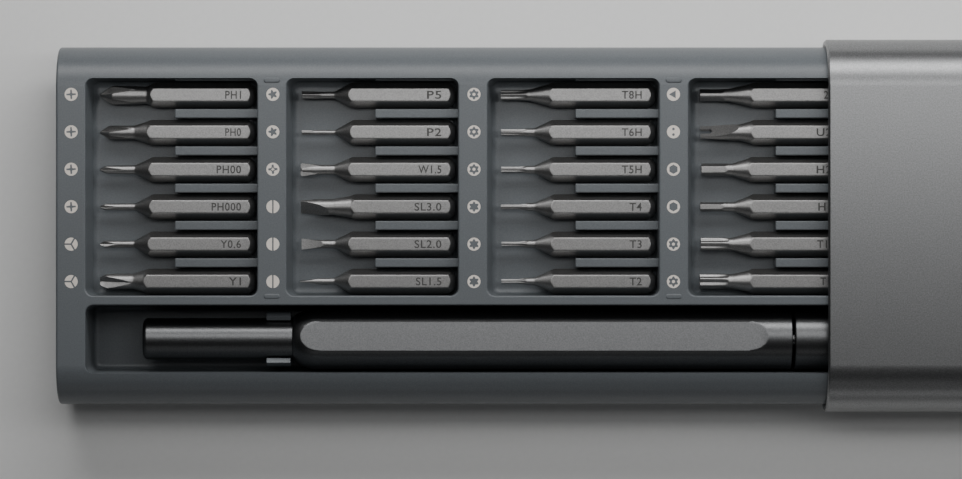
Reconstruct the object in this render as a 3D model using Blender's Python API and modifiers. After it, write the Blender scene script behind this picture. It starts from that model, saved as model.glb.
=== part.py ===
"""A precision screwdriver kit: an aluminium sleeve, a tray that slides out of it, 24 bits and a handle.

The frame: metres, +Z up, the kit lying on its underside. X runs along the kit, the tray slides out
towards -X, and the origin is at the bottom centre of the whole kit with its tray open.
"""

import math

import bmesh
import bpy
from mathutils import Matrix, Vector

MM = 0.001

# ---------------------------------------------------------------- driving dimensions

SLEEVE_LENGTH = 168 * MM
SLEEVE_WIDTH = 67.5 * MM
SLEEVE_HEIGHT = 17.6 * MM
SLEEVE_WALL = 1.1 * MM
GAP = 0.3 * MM  # running clearance, and the gap between pieces that touch
JOIN = 0.5 * MM  # how far two joined shapes run into each other
OVERRUN = 1.0 * MM  # how far a cutter runs past the face that it opens
PRESS_FIT = 0.1 * MM

END_CAP_PLATE = 2.0 * MM
SPIGOT_REACH = 2.8 * MM  # how far the end cap goes into the sleeve
SPIGOT_WALL = 1.2 * MM

TRAY_LENGTH = 156 * MM
TRAY_OUT = 138.6 * MM  # how far the tray stands out of the sleeve at rest

POCKET_COUNT = 4
POCKET_PITCH = 36.08 * MM
POCKET_FIRST = 5.35 * MM  # first pocket's left wall, from the tray's left end
POCKET_LENGTH = 30.85 * MM
POCKET_LOW = -12.6 * MM
POCKET_HIGH = 26.5 * MM
POCKET_DEPTH = 6.5 * MM
POCKET_RADIUS = 1.4 * MM
POCKET_LEANS = (0.95 * MM, 0.05 * MM, 0.25 * MM, 0.4 * MM)  # left, low, right and high wall
RIB_START = 15.85 * MM  # from the pocket's left wall
RIB_DEPTH = 2.5 * MM  # rib tops, below the tray's top
SLOT_WIDTH = 5.1 * MM
POCKET_SKIN = 1.3 * MM  # what is left under a pocket's floor
HOLLOW_WALL = 1.2 * MM
MAGNET_START = 2.85 * MM  # from the pocket's left wall
MAGNET_LENGTH = 25 * MM
MAGNET_WIDTH = 32 * MM
MAGNET_THICKNESS = 2.0 * MM

PILL_LENGTH = 2.9 * MM
PILL_WIDTH = 0.9 * MM
PILL_RISE = 0.08 * MM  # less than the running clearance, because the sleeve curves down over the pills
PILL_ROWS = (-12.7 * MM, 26.1 * MM)
PILL_DIVIDERS = (1, 3)

ROWS_PER_POCKET = 6
ROW_PITCH = 6.72 * MM
ROWS_CENTRE = 6.75 * MM

TROUGH_LOW = -26.6 * MM
TROUGH_HIGH = -14.3 * MM
TROUGH_END = 144.6 * MM
TROUGH_DEPTH = 12.2 * MM
TROUGH_LEANS = (0.3 * MM,) * 4

BIT_LENGTH = 28 * MM
BIT_FLATS = 4.0 * MM
BIT_START = 7.6 * MM  # first bit's tip, from the tray's left end
BIT_CONE_START = 9.2 * MM  # from the tip to where the cone meets the hexagon
BIT_NECK = 6.2 * MM  # from the tip to where the shank starts to widen
BIT_END_CHAMFER = 0.8 * MM
TIP_CUT = 2.2 * MM  # how much of a bit carries its drive's section
DRILL_DEPTH = 1.2 * MM

HANDLE_Y = -20.5 * MM
HANDLE_DEPTH = 6.4 * MM  # handle's axis, below the tray's top
HANDLE_START = 15.3 * MM  # nose's front, from the tray's left end
NOSE_RADIUS = 3.75 * MM
NOSE_END = 42.3 * MM
GRIP_RADIUS = 5.5 * MM
GRIP_END = 132.45 * MM
CAP_START = 132.9 * MM
CAP_END = 143.7 * MM
FLAT_START = 41.0 * MM
FLAT_END = 124.6 * MM
FLAT_RUN_OUT = 3.4 * MM
FLAT_WIDTH = 5.15 * MM
FLAT_COUNT = 3
FLAT_ROLL = math.radians(7)  # the top flat leans towards +Y

CLIP_START = 37.6 * MM
CLIP_END = 42.0 * MM
CLIP_WALL = 0.95 * MM
CLIP_LIP = 3.3 * MM  # a lip's inner edge, from the handle's axis
CLIP_FOOT_HALF = 3.0 * MM
CLIP_SINK = 0.285 * MM  # how far the foot goes into the clip's wall

SOCKET_BORE = 3.1 * MM
SOCKET_BORE_DEPTH = 18.0 * MM
SOCKET_LENGTH = 12.0 * MM
SOCKET_PLAY = 0.05 * MM  # round a bit, on each flat
SOCKET_MAGNET_RADIUS = 2.5 * MM
SOCKET_MAGNET_LENGTH = 4.0 * MM
AXLE_BORE = 1.8 * MM
AXLE_BORE_DEPTH = 9.0 * MM

CAP_WALL = 1.0 * MM
CAP_FACE = 1.5 * MM
AXLE_RADIUS = 1.5 * MM
AXLE_END = 141.3 * MM
RACE_START = 134.3 * MM
RACE_END = 138.5 * MM
RACE_FIT = 0.2 * MM
INNER_RACE_RADIUS = 2.5 * MM
OUTER_RACE_BORE = 2.8 * MM
AXLE_CLIP_START = 139.0 * MM
AXLE_CLIP_THICKNESS = 0.8 * MM

BASE_PLATE = 1.2 * MM
BASE_EDGE = 0.8 * MM  # the base plate's edge, from each end of the tray
BASE_HALF_WIDTH = 23.0 * MM
BASE_CORNER = 2.7 * MM
SCREW_X = 3.1 * MM  # a base screw, in from the tray's end
SCREW_Y = 20.0 * MM
SCREW_SHANK = 0.8 * MM  # radius of the small screws
SCREW_HOLE = 1.1 * MM
SCREW_REACH = 4.0 * MM  # how far a base screw goes into the tray
BASE_HEAD_RADIUS = 1.6 * MM
BASE_HEAD_ROOM = 1.9 * MM
BASE_COUNTERBORE = 0.7 * MM
BASE_HEAD_SINK = 0.05 * MM

LATCH_SPACE = 0.7 * MM  # from the closed tray to the latch's housing
HOUSING_HALF_WIDTH = 6.0 * MM
HOUSING_HALF_HEIGHT = 5.0 * MM
HOUSING_WALL = 1.3 * MM
EAR_THICKNESS = 1.3 * MM
EAR_HALF_HEIGHT = 3.0 * MM
LATCH_EAR = 11.0 * MM  # a latch screw, from the middle
LATCH_HEAD = 0.8 * MM
LATCH_HEAD_RADIUS = 1.7 * MM
LATCH_HEAD_TAPER = 0.2 * MM
LATCH_SCREW_GRIP = 0.7 * MM  # how far its shank goes into the end plate
BOSS_RADIUS = 2.4 * MM
BOSS_HEIGHT = 1.0 * MM
CARRIAGE_HALF_WIDTH = 3.0 * MM
CARRIAGE_HALF_HEIGHT = 3.0 * MM
CARRIAGE_REACH = 2.7 * MM  # how far its fork reaches into the tray's rear notch
CARRIAGE_LENGTH = 7.0 * MM
FORK_DEPTH = 3.3 * MM
FORK_PLAY = 0.5 * MM
SPRING_RADIUS = 2.2 * MM
SPRING_WIRE = 0.2 * MM
SPRING_TURNS = 3
STRIKER_RADIUS = 1.0 * MM
STRIKER_INSET = 1.3 * MM  # the striker pin's axis, from the tray's rear end
STRIKER_SEAT = 2.0 * MM  # how deep it sits above and below the notch
NOTCH_DEPTH = 6.4 * MM

# ---------------------------------------------------------------- what follows from them

TRAY_LEFT = -(SLEEVE_LENGTH + TRAY_OUT) / 2
SLEEVE_FRONT = TRAY_LEFT + TRAY_OUT
SLEEVE_BACK = SLEEVE_FRONT + SLEEVE_LENGTH
TRAY_WIDTH = SLEEVE_WIDTH - 2 * (SLEEVE_WALL + GAP)
TRAY_HEIGHT = SLEEVE_HEIGHT - 2 * (SLEEVE_WALL + GAP)
TRAY_BOTTOM = SLEEVE_WALL + GAP
TRAY_TOP = TRAY_BOTTOM + TRAY_HEIGHT
TRAY_RIGHT = TRAY_LEFT + TRAY_LENGTH
MID_HEIGHT = SLEEVE_HEIGHT / 2
POCKET_FLOOR = TRAY_TOP - POCKET_DEPTH
BIT_AXIS_HEIGHT = POCKET_FLOOR + GAP + BIT_FLATS / 2
HANDLE_HEIGHT = TRAY_TOP - HANDLE_DEPTH
HANDLE_REAR = TRAY_LEFT + CAP_END
DIVIDER = POCKET_PITCH - POCKET_LENGTH
CLOSED_RIGHT = TRAY_RIGHT + TRAY_OUT  # the tray's rear end once it is pushed in
HOUSING_FRONT = CLOSED_RIGHT + LATCH_SPACE
SOCKET_BORE_END = HANDLE_START + SOCKET_BORE_DEPTH
AXLE_BORE_START = GRIP_END - AXLE_BORE_DEPTH

# ---------------------------------------------------------------- materials

MATERIALS = {
    "sleeve": ((0.36, 0.36, 0.365), 0.42, 1.0),
    "tray": ((0.105, 0.125, 0.14), 0.55, 0.0),
    "bit_steel": ((0.42, 0.41, 0.40), 0.38, 1.0),
    "handle": ((0.20, 0.205, 0.21), 0.36, 1.0),
    "bright_steel": ((0.55, 0.55, 0.56), 0.28, 1.0),
    "magnet": ((0.45, 0.45, 0.46), 0.3, 1.0),
    "dark_plastic": ((0.03, 0.03, 0.032), 0.5, 0.0),
}


def material(name):
    """The named Principled material, made once."""
    found = bpy.data.materials.get(name)
    if found:
        return found
    colour, roughness, metallic = MATERIALS[name]
    made = bpy.data.materials.new(name)
    made.use_nodes = True
    shader = made.node_tree.nodes["Principled BSDF"]
    shader.inputs["Base Color"].default_value = (*colour, 1.0)
    shader.inputs["Roughness"].default_value = roughness
    shader.inputs["Metallic"].default_value = metallic
    return made


# ---------------------------------------------------------------- modelling helpers

# local Z to world X, with local X to world Y and local Y to world Z
ALONG_X = Matrix(((0, 0, 1, 0), (1, 0, 0, 0), (0, 1, 0, 0), (0, 0, 0, 1)))
# local Z to world -X, with local X to world Z
ALONG_MINUS_X = Matrix(((0, 0, -1, 0), (0, 1, 0, 0), (1, 0, 0, 0), (0, 0, 0, 1)))
# local Z to world X, with local X to world -Z
TURNED_X = Matrix(((0, 0, 1, 0), (0, 1, 0, 0), (-1, 0, 0, 0), (0, 0, 0, 1)))


def at(x, y, z):
    """A move to a place."""
    return Matrix.Translation(Vector((x, y, z)))


def place(name, mesh, matrix, collection):
    """An object for a mesh, at a place, in a collection."""
    thing = bpy.data.objects.new(name, mesh)
    thing.matrix_world = matrix
    collection.objects.link(thing)
    return thing


def flat_outline(name, outlines, low, high):
    """The mesh between two heights of a flat outline, where later outlines are holes in the first."""
    curve = bpy.data.curves.new(name, "CURVE")
    curve.dimensions = "2D"
    curve.fill_mode = "BOTH"
    curve.extrude = (high - low) / 2
    for outline in outlines:
        spline = curve.splines.new("POLY")
        spline.points.add(len(outline) - 1)
        for point, (x, y) in zip(spline.points, outline):
            point.co = (x, y, 0, 1)
        spline.use_cyclic_u = True
    thing = bpy.data.objects.new(name, curve)
    SCENE.collection.objects.link(thing)
    bpy.context.view_layer.update()
    mesh = bpy.data.meshes.new_from_object(thing.evaluated_get(bpy.context.evaluated_depsgraph_get()))
    bpy.data.objects.remove(thing)
    bpy.data.curves.remove(curve)
    return welded(mesh, Matrix.Translation((0, 0, (low + high) / 2)))


def welded(mesh, move):
    """The mesh moved, with its loose caps joined and its faces turned outwards."""
    work = bmesh.new()
    work.from_mesh(mesh)
    bmesh.ops.remove_doubles(work, verts=work.verts, dist=1e-6)
    bmesh.ops.transform(work, matrix=move, verts=work.verts)
    bmesh.ops.recalc_face_normals(work, faces=work.faces)
    work.to_mesh(mesh)
    work.free()
    return mesh


def box_mesh(name, low, high):
    """A box between two corners."""
    work = bmesh.new()
    bmesh.ops.create_cube(work, size=1)
    low, high = Vector(low), Vector(high)
    size = Matrix.Diagonal((*(high - low), 1))
    bmesh.ops.transform(work, matrix=Matrix.Translation((low + high) / 2) @ size, verts=work.verts)
    mesh = bpy.data.meshes.new(name)
    work.to_mesh(mesh)
    work.free()
    return mesh


def rod_mesh(name, radius, low, high, sides=24):
    """A cylinder, or a prism of few sides, along local Z."""
    work = bmesh.new()
    bmesh.ops.create_cone(
        work, cap_ends=True, segments=sides, radius1=radius, radius2=radius, depth=high - low
    )
    bmesh.ops.translate(work, vec=(0, 0, (low + high) / 2), verts=work.verts)
    mesh = bpy.data.meshes.new(name)
    work.to_mesh(mesh)
    work.free()
    return mesh


def tapered_mesh(name, outline, foot, top, bottom):
    """A flat outline at the top, drawn down to a smaller one of as many points at the bottom."""
    work = bmesh.new()
    ring = [work.verts.new((x, y, top)) for x, y in outline]
    lid = work.faces.new(ring)
    grown = bmesh.ops.extrude_face_region(work, geom=[lid], use_keep_orig=True)
    lower = [v for v in grown["geom"] if isinstance(v, bmesh.types.BMVert)]
    corners = [Vector(point) for point in outline]
    for vert in lower:
        nearest = min(range(len(corners)), key=lambda i: (corners[i] - vert.co.xy).length)
        vert.co = (*foot[nearest], bottom)
    bmesh.ops.recalc_face_normals(work, faces=work.faces)
    mesh = bpy.data.meshes.new(name)
    work.to_mesh(mesh)
    work.free()
    return mesh


def turned(name, profile, matrix, steps, slot, closed=False):
    """A turned piece: its profile, from its highest point down its outer side, with a Screw modifier.

    The profile's points are (height, radius). A closed profile makes a ring.
    """
    count = len(profile)
    edges = [(i, i + 1) for i in range(count - 1)]
    if closed:
        edges.append((count - 1, 0))
    mesh = bpy.data.meshes.new(name)
    mesh.from_pydata([(radius, 0, height) for height, radius in profile], edges, [])
    thing = place(name, mesh, matrix, PARTS)
    screw = thing.modifiers.new("turn", "SCREW")
    screw.steps = steps
    screw.render_steps = steps
    screw.use_merge_vertices = True
    screw.merge_threshold = 0.000001
    thing.data.materials.append(material(slot))
    return thing


def piece(name, mesh, matrix, slot):
    """A sub-part: a named object with its material."""
    mesh.materials.clear()
    mesh.materials.append(material(slot))
    return place(name, mesh, matrix, PARTS)


def combine(target, mesh, matrix, operation="DIFFERENCE"):
    """Cut, join or intersect a piece with a mesh that stays as a wire guide."""
    guide = place(f"{target.name}_guide_{len(target.modifiers)}", mesh, matrix, GUIDES)
    guide.hide_render = True
    guide.display_type = "WIRE"
    change = target.modifiers.new("guide", "BOOLEAN")
    change.solver = "EXACT"
    change.operation = operation
    change.object = guide


def smooth(thing, angle=30):
    """Smooth shading with sharp edges kept."""
    thing.data.shade_smooth()
    thing.data.set_sharp_from_angle(angle=math.radians(angle))


# ---------------------------------------------------------------- outlines


def arc(x, y, radius, start, end, steps):
    """Points on an arc, in degrees."""
    angles = [math.radians(start + (end - start) * i / steps) for i in range(steps + 1)]
    return [(x + radius * math.cos(a), y + radius * math.sin(a)) for a in angles]


def stadium(width, height, steps=12):
    """A section with full-round sides."""
    radius = height / 2
    reach = width / 2 - radius
    return arc(reach, 0, radius, -90, 90, steps) + arc(-reach, 0, radius, 90, 270, steps)


def rounded(x0, y0, x1, y1, radius, steps=4):
    """A rectangle with rounded corners."""
    return (
        arc(x1 - radius, y0 + radius, radius, -90, 0, steps)
        + arc(x1 - radius, y1 - radius, radius, 0, 90, steps)
        + arc(x0 + radius, y1 - radius, radius, 90, 180, steps)
        + arc(x0 + radius, y0 + radius, radius, 180, 270, steps)
    )


def circle(radius, steps=16):
    """A circle."""
    return [
        (radius * math.cos(2 * math.pi * i / steps), radius * math.sin(2 * math.pi * i / steps))
        for i in range(steps)
    ]


def star(lobes, radius, depth, steps=4):
    """A star of round lobes: the radius swings between its tips and its valleys."""
    count = lobes * steps
    points = []
    for i in range(count):
        angle = 2 * math.pi * i / count
        r = radius - depth * (1 - math.cos(lobes * angle)) / 2
        points.append((r * math.cos(angle), r * math.sin(angle)))
    return points


def wings(count, radius, half):
    """Straight wings around the centre: a cross for four, a tri-wing for three."""
    points = []
    for i in range(count):
        turn = 2 * math.pi * i / count
        inner = half / math.sin(math.pi / count)
        corners = [(radius, -half), (radius, half)]
        for x, y in corners:
            points.append(
                (x * math.cos(turn) - y * math.sin(turn), x * math.sin(turn) + y * math.cos(turn))
            )
        valley = turn + math.pi / count
        points.append((inner * math.cos(valley), inner * math.sin(valley)))
    return points


def polygon(sides, flats):
    """A regular polygon by the radius of its inscribed circle."""
    radius = flats / math.cos(math.pi / sides)
    return [
        (
            radius * math.cos(2 * math.pi * (i + 0.5) / sides),
            radius * math.sin(2 * math.pi * (i + 0.5) / sides),
        )
        for i in range(sides)
    ]


def blade(width, thickness):
    """A flat blade, wide across local Y."""
    x, y = thickness / 2, width / 2
    return [(x, -y), (x, y), (-x, y), (-x, -y)]


def fork(width, thickness, slot):
    """A blade with a slot up its middle: two prongs."""
    x, y, gap = thickness / 2, width / 2, slot / 2
    return [
        [(x, gap), (x, y), (-x, y), (-x, gap)],
        [(x, -y), (x, -gap), (-x, -gap), (-x, -y)],
    ]


# ---------------------------------------------------------------- the sleeve and its latch


def sleeve():
    """The extruded sleeve, the cap that closes its far end, and the push-to-open latch inside."""
    inner = (SLEEVE_WIDTH - 2 * SLEEVE_WALL, SLEEVE_HEIGHT - 2 * SLEEVE_WALL)
    outer_line = stadium(SLEEVE_WIDTH, SLEEVE_HEIGHT)
    inner_line = stadium(*inner)
    centre = at(0, 0, MID_HEIGHT) @ ALONG_X
    wall_end = SLEEVE_BACK - END_CAP_PLATE - GAP
    shell = piece(
        "sleeve_shell",
        flat_outline("sleeve_shell", [outer_line, inner_line], SLEEVE_FRONT, wall_end),
        centre,
        "sleeve",
    )
    smooth(shell)

    plate_front = SLEEVE_BACK - END_CAP_PLATE
    cap = piece(
        "rear_end_cap",
        flat_outline("rear_end_cap", [outer_line], plate_front, SLEEVE_BACK),
        centre,
        "sleeve",
    )
    shrink = 2 * GAP + 2 * SPIGOT_WALL
    spigot = [
        stadium(inner[0] - 2 * GAP, inner[1] - 2 * GAP),
        stadium(inner[0] - shrink, inner[1] - shrink),
    ]
    combine(
        cap,
        flat_outline("spigot", spigot, plate_front - SPIGOT_REACH, plate_front + JOIN),
        centre,
        "UNION",
    )
    smooth(cap)
    latch(cap, plate_front)


def latch(cap, plate_front):
    """The latch housing, screwed to the end cap, with a sprung carriage whose fork holds the tray."""
    back = plate_front - GAP
    centre = at(0, 0, MID_HEIGHT)
    boss = back - BOSS_HEIGHT
    ear_back = boss - GAP
    ear_front = ear_back - EAR_THICKNESS
    ear = LATCH_EAR + EAR_HALF_HEIGHT
    wide, high = HOUSING_HALF_WIDTH, HOUSING_HALF_HEIGHT
    housing = piece(
        "latch_housing",
        box_mesh("latch_housing", (HOUSING_FRONT, -wide, -high), (back, wide, high)),
        centre,
        "dark_plastic",
    )
    combine(
        housing,
        box_mesh("ears", (ear_front, -ear, -EAR_HALF_HEIGHT), (ear_back, ear, EAR_HALF_HEIGHT)),
        centre,
        "UNION",
    )
    half_y = CARRIAGE_HALF_WIDTH + GAP
    half_z = CARRIAGE_HALF_HEIGHT + GAP
    bay_end = back - HOUSING_WALL
    combine(
        housing,
        box_mesh("bay", (HOUSING_FRONT - OVERRUN, -half_y, -half_z), (bay_end, half_y, half_z)),
        centre,
    )
    for index, side in enumerate((-1, 1)):
        axis = at(0, side * LATCH_EAR, MID_HEIGHT) @ TURNED_X
        combine(housing, rod_mesh("ear_hole", SCREW_HOLE, ear_front - OVERRUN, back, 16), axis)
        combine(cap, rod_mesh("boss", BOSS_RADIUS, boss, plate_front + JOIN, 20), axis, "UNION")
        hole = rod_mesh("boss_hole", SCREW_HOLE, boss - OVERRUN, plate_front + OVERRUN, 16)
        combine(cap, hole, axis)
        head = ear_front - GAP
        shank = plate_front + LATCH_SCREW_GRIP
        profile = [
            (shank, 0),
            (shank, SCREW_SHANK),
            (head, SCREW_SHANK),
            (head, LATCH_HEAD_RADIUS),
            (head - LATCH_HEAD, LATCH_HEAD_RADIUS - LATCH_HEAD_TAPER),
            (head - LATCH_HEAD, 0),
        ]
        smooth(turned(f"latch_screw_{index + 1}", profile, axis, 16, "bright_steel"))

    front = CLOSED_RIGHT - CARRIAGE_REACH
    carriage_empty = joint_empty("latch_push", at(front, 0, MID_HEIGHT))
    carriage = piece(
        "latch_carriage",
        box_mesh(
            "latch_carriage",
            (0, -CARRIAGE_HALF_WIDTH, -CARRIAGE_HALF_HEIGHT),
            (CARRIAGE_LENGTH, CARRIAGE_HALF_WIDTH, CARRIAGE_HALF_HEIGHT),
        ),
        at(front, 0, MID_HEIGHT),
        "dark_plastic",
    )
    slot = STRIKER_RADIUS + FORK_PLAY
    combine(
        carriage,
        box_mesh(
            "fork_slot",
            (-OVERRUN, -slot, -2 * CARRIAGE_HALF_HEIGHT),
            (FORK_DEPTH, slot, 2 * CARRIAGE_HALF_HEIGHT),
        ),
        carriage.matrix_world,
    )
    ride(carriage, carriage_empty)

    spring_start = front + CARRIAGE_LENGTH + GAP
    coil("latch_spring", spring_start, bay_end - GAP, SPRING_RADIUS, SPRING_WIRE, SPRING_TURNS)


def coil(name, start, end, radius, wire, turns):
    """A coil spring along X, its wire's centre line a helix between two ends."""
    curve = bpy.data.curves.new(name, "CURVE")
    curve.dimensions = "3D"
    curve.bevel_depth = wire
    curve.bevel_resolution = 2
    curve.use_fill_caps = True
    per_turn = 12
    count = turns * per_turn
    spline = curve.splines.new("POLY")
    spline.points.add(count)
    low, high = start + wire, end - wire
    for i, point in enumerate(spline.points):
        angle = 2 * math.pi * i / per_turn
        x = low + (high - low) * i / count
        point.co = (x, radius * math.cos(angle), MID_HEIGHT + radius * math.sin(angle), 1)
    thing = bpy.data.objects.new(name, curve)
    thing.data.materials.append(material("bright_steel"))
    PARTS.objects.link(thing)
    return thing


# ---------------------------------------------------------------- the tray


def tray():
    """The tray frame with its pockets, ribs and trough, and what is fastened to it."""
    empty = joint_empty("tray_slide", at(TRAY_RIGHT, 0, MID_HEIGHT))
    section = [stadium(TRAY_WIDTH, TRAY_HEIGHT)]
    frame = piece(
        "tray_frame",
        flat_outline("tray_frame", section, TRAY_LEFT, TRAY_RIGHT),
        at(0, 0, MID_HEIGHT) @ ALONG_X,
        "tray",
    )
    for column in range(POCKET_COUNT):
        left = TRAY_LEFT + POCKET_FIRST + column * POCKET_PITCH
        pocket(frame, left)
        hollow_top = POCKET_FLOOR - POCKET_SKIN
        wall = HOLLOW_WALL
        combine(
            frame,
            box_mesh(
                "hollow",
                (left + wall, POCKET_LOW + wall, TRAY_BOTTOM + OVERRUN),
                (left + POCKET_LENGTH - wall, POCKET_HIGH - 2 * wall, hollow_top),
            ),
            Matrix(),
        )
        half = MAGNET_WIDTH / 2
        magnet = piece(
            f"magnet_strip_{column + 1}",
            box_mesh("strip", (0, -half, -MAGNET_THICKNESS), (MAGNET_LENGTH, half, 0)),
            at(left + MAGNET_START, ROWS_CENTRE, hollow_top - GAP),
            "magnet",
        )
        ride(magnet, empty)
    trough(frame)
    base(frame, empty)
    rear_notch(frame, empty)
    bumps(frame)
    smooth(frame)
    ride(frame, empty)
    clip(empty)
    return empty


def cavity(name, corners, leans, depth):
    """A cutter for a rounded rectangle sunk into the tray's top, each wall leaning in by its own lean.

    Corners and leans are given as left, low, right and high. Both ends of the cutter lie on the same
    leaning walls, so it breaks cleanly out of the top.
    """
    left, low, right, high = corners
    lean_left, lean_low, lean_right, lean_high = leans

    def level(share):
        return rounded(
            left + lean_left * share,
            low + lean_low * share,
            right - lean_right * share,
            high - lean_high * share,
            POCKET_RADIUS,
        )

    return tapered_mesh(name, level(-OVERRUN / depth), level(1), TRAY_TOP + OVERRUN, TRAY_TOP - depth)


def pocket(frame, left):
    """One pocket, its walls leaning in towards the floor, with a rib between each pair of bits."""
    right = left + POCKET_LENGTH
    corners = (left, POCKET_LOW, right, POCKET_HIGH)
    combine(frame, cavity("pocket", corners, POCKET_LEANS, POCKET_DEPTH), Matrix())
    bank_left = left + RIB_START
    rib_top = TRAY_TOP - RIB_DEPTH
    half = (ROW_PITCH - SLOT_WIDTH) / 2
    for gap_row in range(ROWS_PER_POCKET):
        middle = row_y(gap_row) + ROW_PITCH / 2
        high = POCKET_HIGH + OVERRUN if gap_row == 0 else middle + half
        rib = box_mesh(
            "rib",
            (bank_left, middle - half, POCKET_FLOOR - JOIN),
            (right + JOIN, high, rib_top),
        )
        combine(frame, rib, Matrix(), "UNION")


def row_y(row):
    """The middle of a row of bits, the top row first."""
    return ROWS_CENTRE + ROW_PITCH * ((ROWS_PER_POCKET - 1) / 2 - row)


def trough(frame):
    """The handle's trough."""
    corners = (TRAY_LEFT + POCKET_FIRST, TROUGH_LOW, TRAY_LEFT + TROUGH_END, TROUGH_HIGH)
    combine(frame, cavity("trough", corners, TROUGH_LEANS, TROUGH_DEPTH), Matrix())


def bumps(frame):
    """Low pills on the first and third dividers, on which the tray runs in the sleeve."""
    pill_line = stadium(PILL_LENGTH, PILL_WIDTH, 5)
    for divider in PILL_DIVIDERS:
        x = TRAY_LEFT + POCKET_FIRST + divider * POCKET_PITCH - DIVIDER / 2
        for y in PILL_ROWS:
            pill = flat_outline("pill", [pill_line], -JOIN, PILL_RISE)
            combine(frame, pill, at(x, y, TRAY_TOP), "UNION")


def base(frame, empty):
    """The plate that closes the tray's underside, and its four screws."""
    left = TRAY_LEFT + BASE_EDGE
    right = TRAY_RIGHT - BASE_EDGE
    wide = BASE_HALF_WIDTH + GAP
    recess = rounded(left - GAP, -wide, right + GAP, wide, BASE_CORNER + GAP)
    plate_top = TRAY_BOTTOM + BASE_PLATE
    combine(
        frame,
        flat_outline("base_recess", [recess], TRAY_BOTTOM - OVERRUN, plate_top + GAP),
        Matrix(),
    )
    outline = rounded(left, -BASE_HALF_WIDTH, right, BASE_HALF_WIDTH, BASE_CORNER)
    plate = piece(
        "tray_base_plate",
        flat_outline("tray_base_plate", [outline], TRAY_BOTTOM, plate_top),
        Matrix(),
        "dark_plastic",
    )
    counterbore = TRAY_BOTTOM + BASE_COUNTERBORE
    index = 0
    for x in (TRAY_LEFT + SCREW_X, TRAY_RIGHT - SCREW_X):
        for y in (-SCREW_Y, SCREW_Y):
            index += 1
            axis = at(x, y, 0)
            combine(plate, rod_mesh("head_room", BASE_HEAD_ROOM, 0, counterbore, 16), axis)
            combine(plate, rod_mesh("plate_hole", SCREW_HOLE, 0, plate_top + OVERRUN, 12), axis)
            top = plate_top + SCREW_REACH
            combine(frame, rod_mesh("screw_hole", SCREW_HOLE, plate_top, top + GAP, 12), axis)
            head = counterbore - GAP
            face = TRAY_BOTTOM + BASE_HEAD_SINK
            profile = [
                (top, 0),
                (top, SCREW_SHANK),
                (head, SCREW_SHANK),
                (head, BASE_HEAD_RADIUS),
                (face, BASE_HEAD_RADIUS),
                (face, 0),
            ]
            screw = turned(f"base_screw_{index}", profile, axis, 16, "bright_steel")
            smooth(screw)
            ride(screw, empty)
    ride(plate, empty)


def rear_notch(frame, empty):
    """The notch in the tray's rear end, with the pin that the latch's fork catches."""
    half_y = CARRIAGE_HALF_WIDTH + 2 * GAP
    half_z = CARRIAGE_HALF_HEIGHT + 2 * GAP
    combine(
        frame,
        box_mesh(
            "rear_notch",
            (TRAY_RIGHT - NOTCH_DEPTH, -half_y, MID_HEIGHT - half_z),
            (TRAY_RIGHT + OVERRUN, half_y, MID_HEIGHT + half_z),
        ),
        Matrix(),
    )
    x = TRAY_RIGHT - STRIKER_INSET
    hole_low = MID_HEIGHT - half_z - STRIKER_SEAT
    hole_high = MID_HEIGHT + half_z + STRIKER_SEAT
    hole = rod_mesh("striker_hole", STRIKER_RADIUS + PRESS_FIT, hole_low, hole_high, 20)
    combine(frame, hole, at(x, 0, 0))
    pin = rod_mesh("tray_striker", STRIKER_RADIUS, hole_low + GAP, hole_high - GAP, 20)
    striker = piece("tray_striker", pin, at(x, 0, 0), "bright_steel")
    smooth(striker)
    ride(striker, empty)


def clip(empty):
    """The spring clip round the handle's nose: a C section on a small foot."""
    inner = NOSE_RADIUS + GAP
    outer = inner + CLIP_WALL
    lip_height = math.sqrt(inner**2 - CLIP_LIP**2)
    inner_end = math.degrees(math.atan2(lip_height, -CLIP_LIP))
    outer_end = math.degrees(math.atan2(lip_height, -math.sqrt(outer**2 - lip_height**2)))
    around = arc(0, 0, outer, 180 - outer_end, outer_end - 360, 24)
    within = arc(0, 0, inner, inner_end - 360, 180 - inner_end, 20)
    low = TRAY_LEFT + CLIP_START
    high = TRAY_LEFT + CLIP_END
    centre = at(0, HANDLE_Y, HANDLE_HEIGHT) @ ALONG_X
    thing = piece("handle_clip", flat_outline("handle_clip", [around + within], low, high), centre, "tray")
    floor = TRAY_TOP - TROUGH_DEPTH + GAP - HANDLE_HEIGHT
    half = CLIP_FOOT_HALF
    foot = box_mesh("clip_foot", (-half, floor, low), (half, -inner - CLIP_SINK, high))
    combine(thing, foot, centre, "UNION")
    smooth(thing)
    ride(thing, empty)


# ---------------------------------------------------------------- the handle


def handle(tray_empty):
    """The handle, which tips nose up out of its trough about its rear top edge, and its end cap."""
    pivot = at(HANDLE_REAR, HANDLE_Y, HANDLE_HEIGHT + GRIP_RADIUS)
    empty = joint_empty("handle_lift", pivot)
    ride(empty, tray_empty)
    axis = at(TRAY_LEFT, HANDLE_Y, HANDLE_HEIGHT) @ TURNED_X
    for thing in (grip(axis), *socket(axis), *cap_bearing(axis)):
        ride(thing, empty)
    cap_empty = joint_empty("end_cap_spin", at(HANDLE_REAR, HANDLE_Y, HANDLE_HEIGHT))
    ride(cap_empty, empty)
    for thing in end_cap(axis):
        ride(thing, cap_empty)


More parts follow.
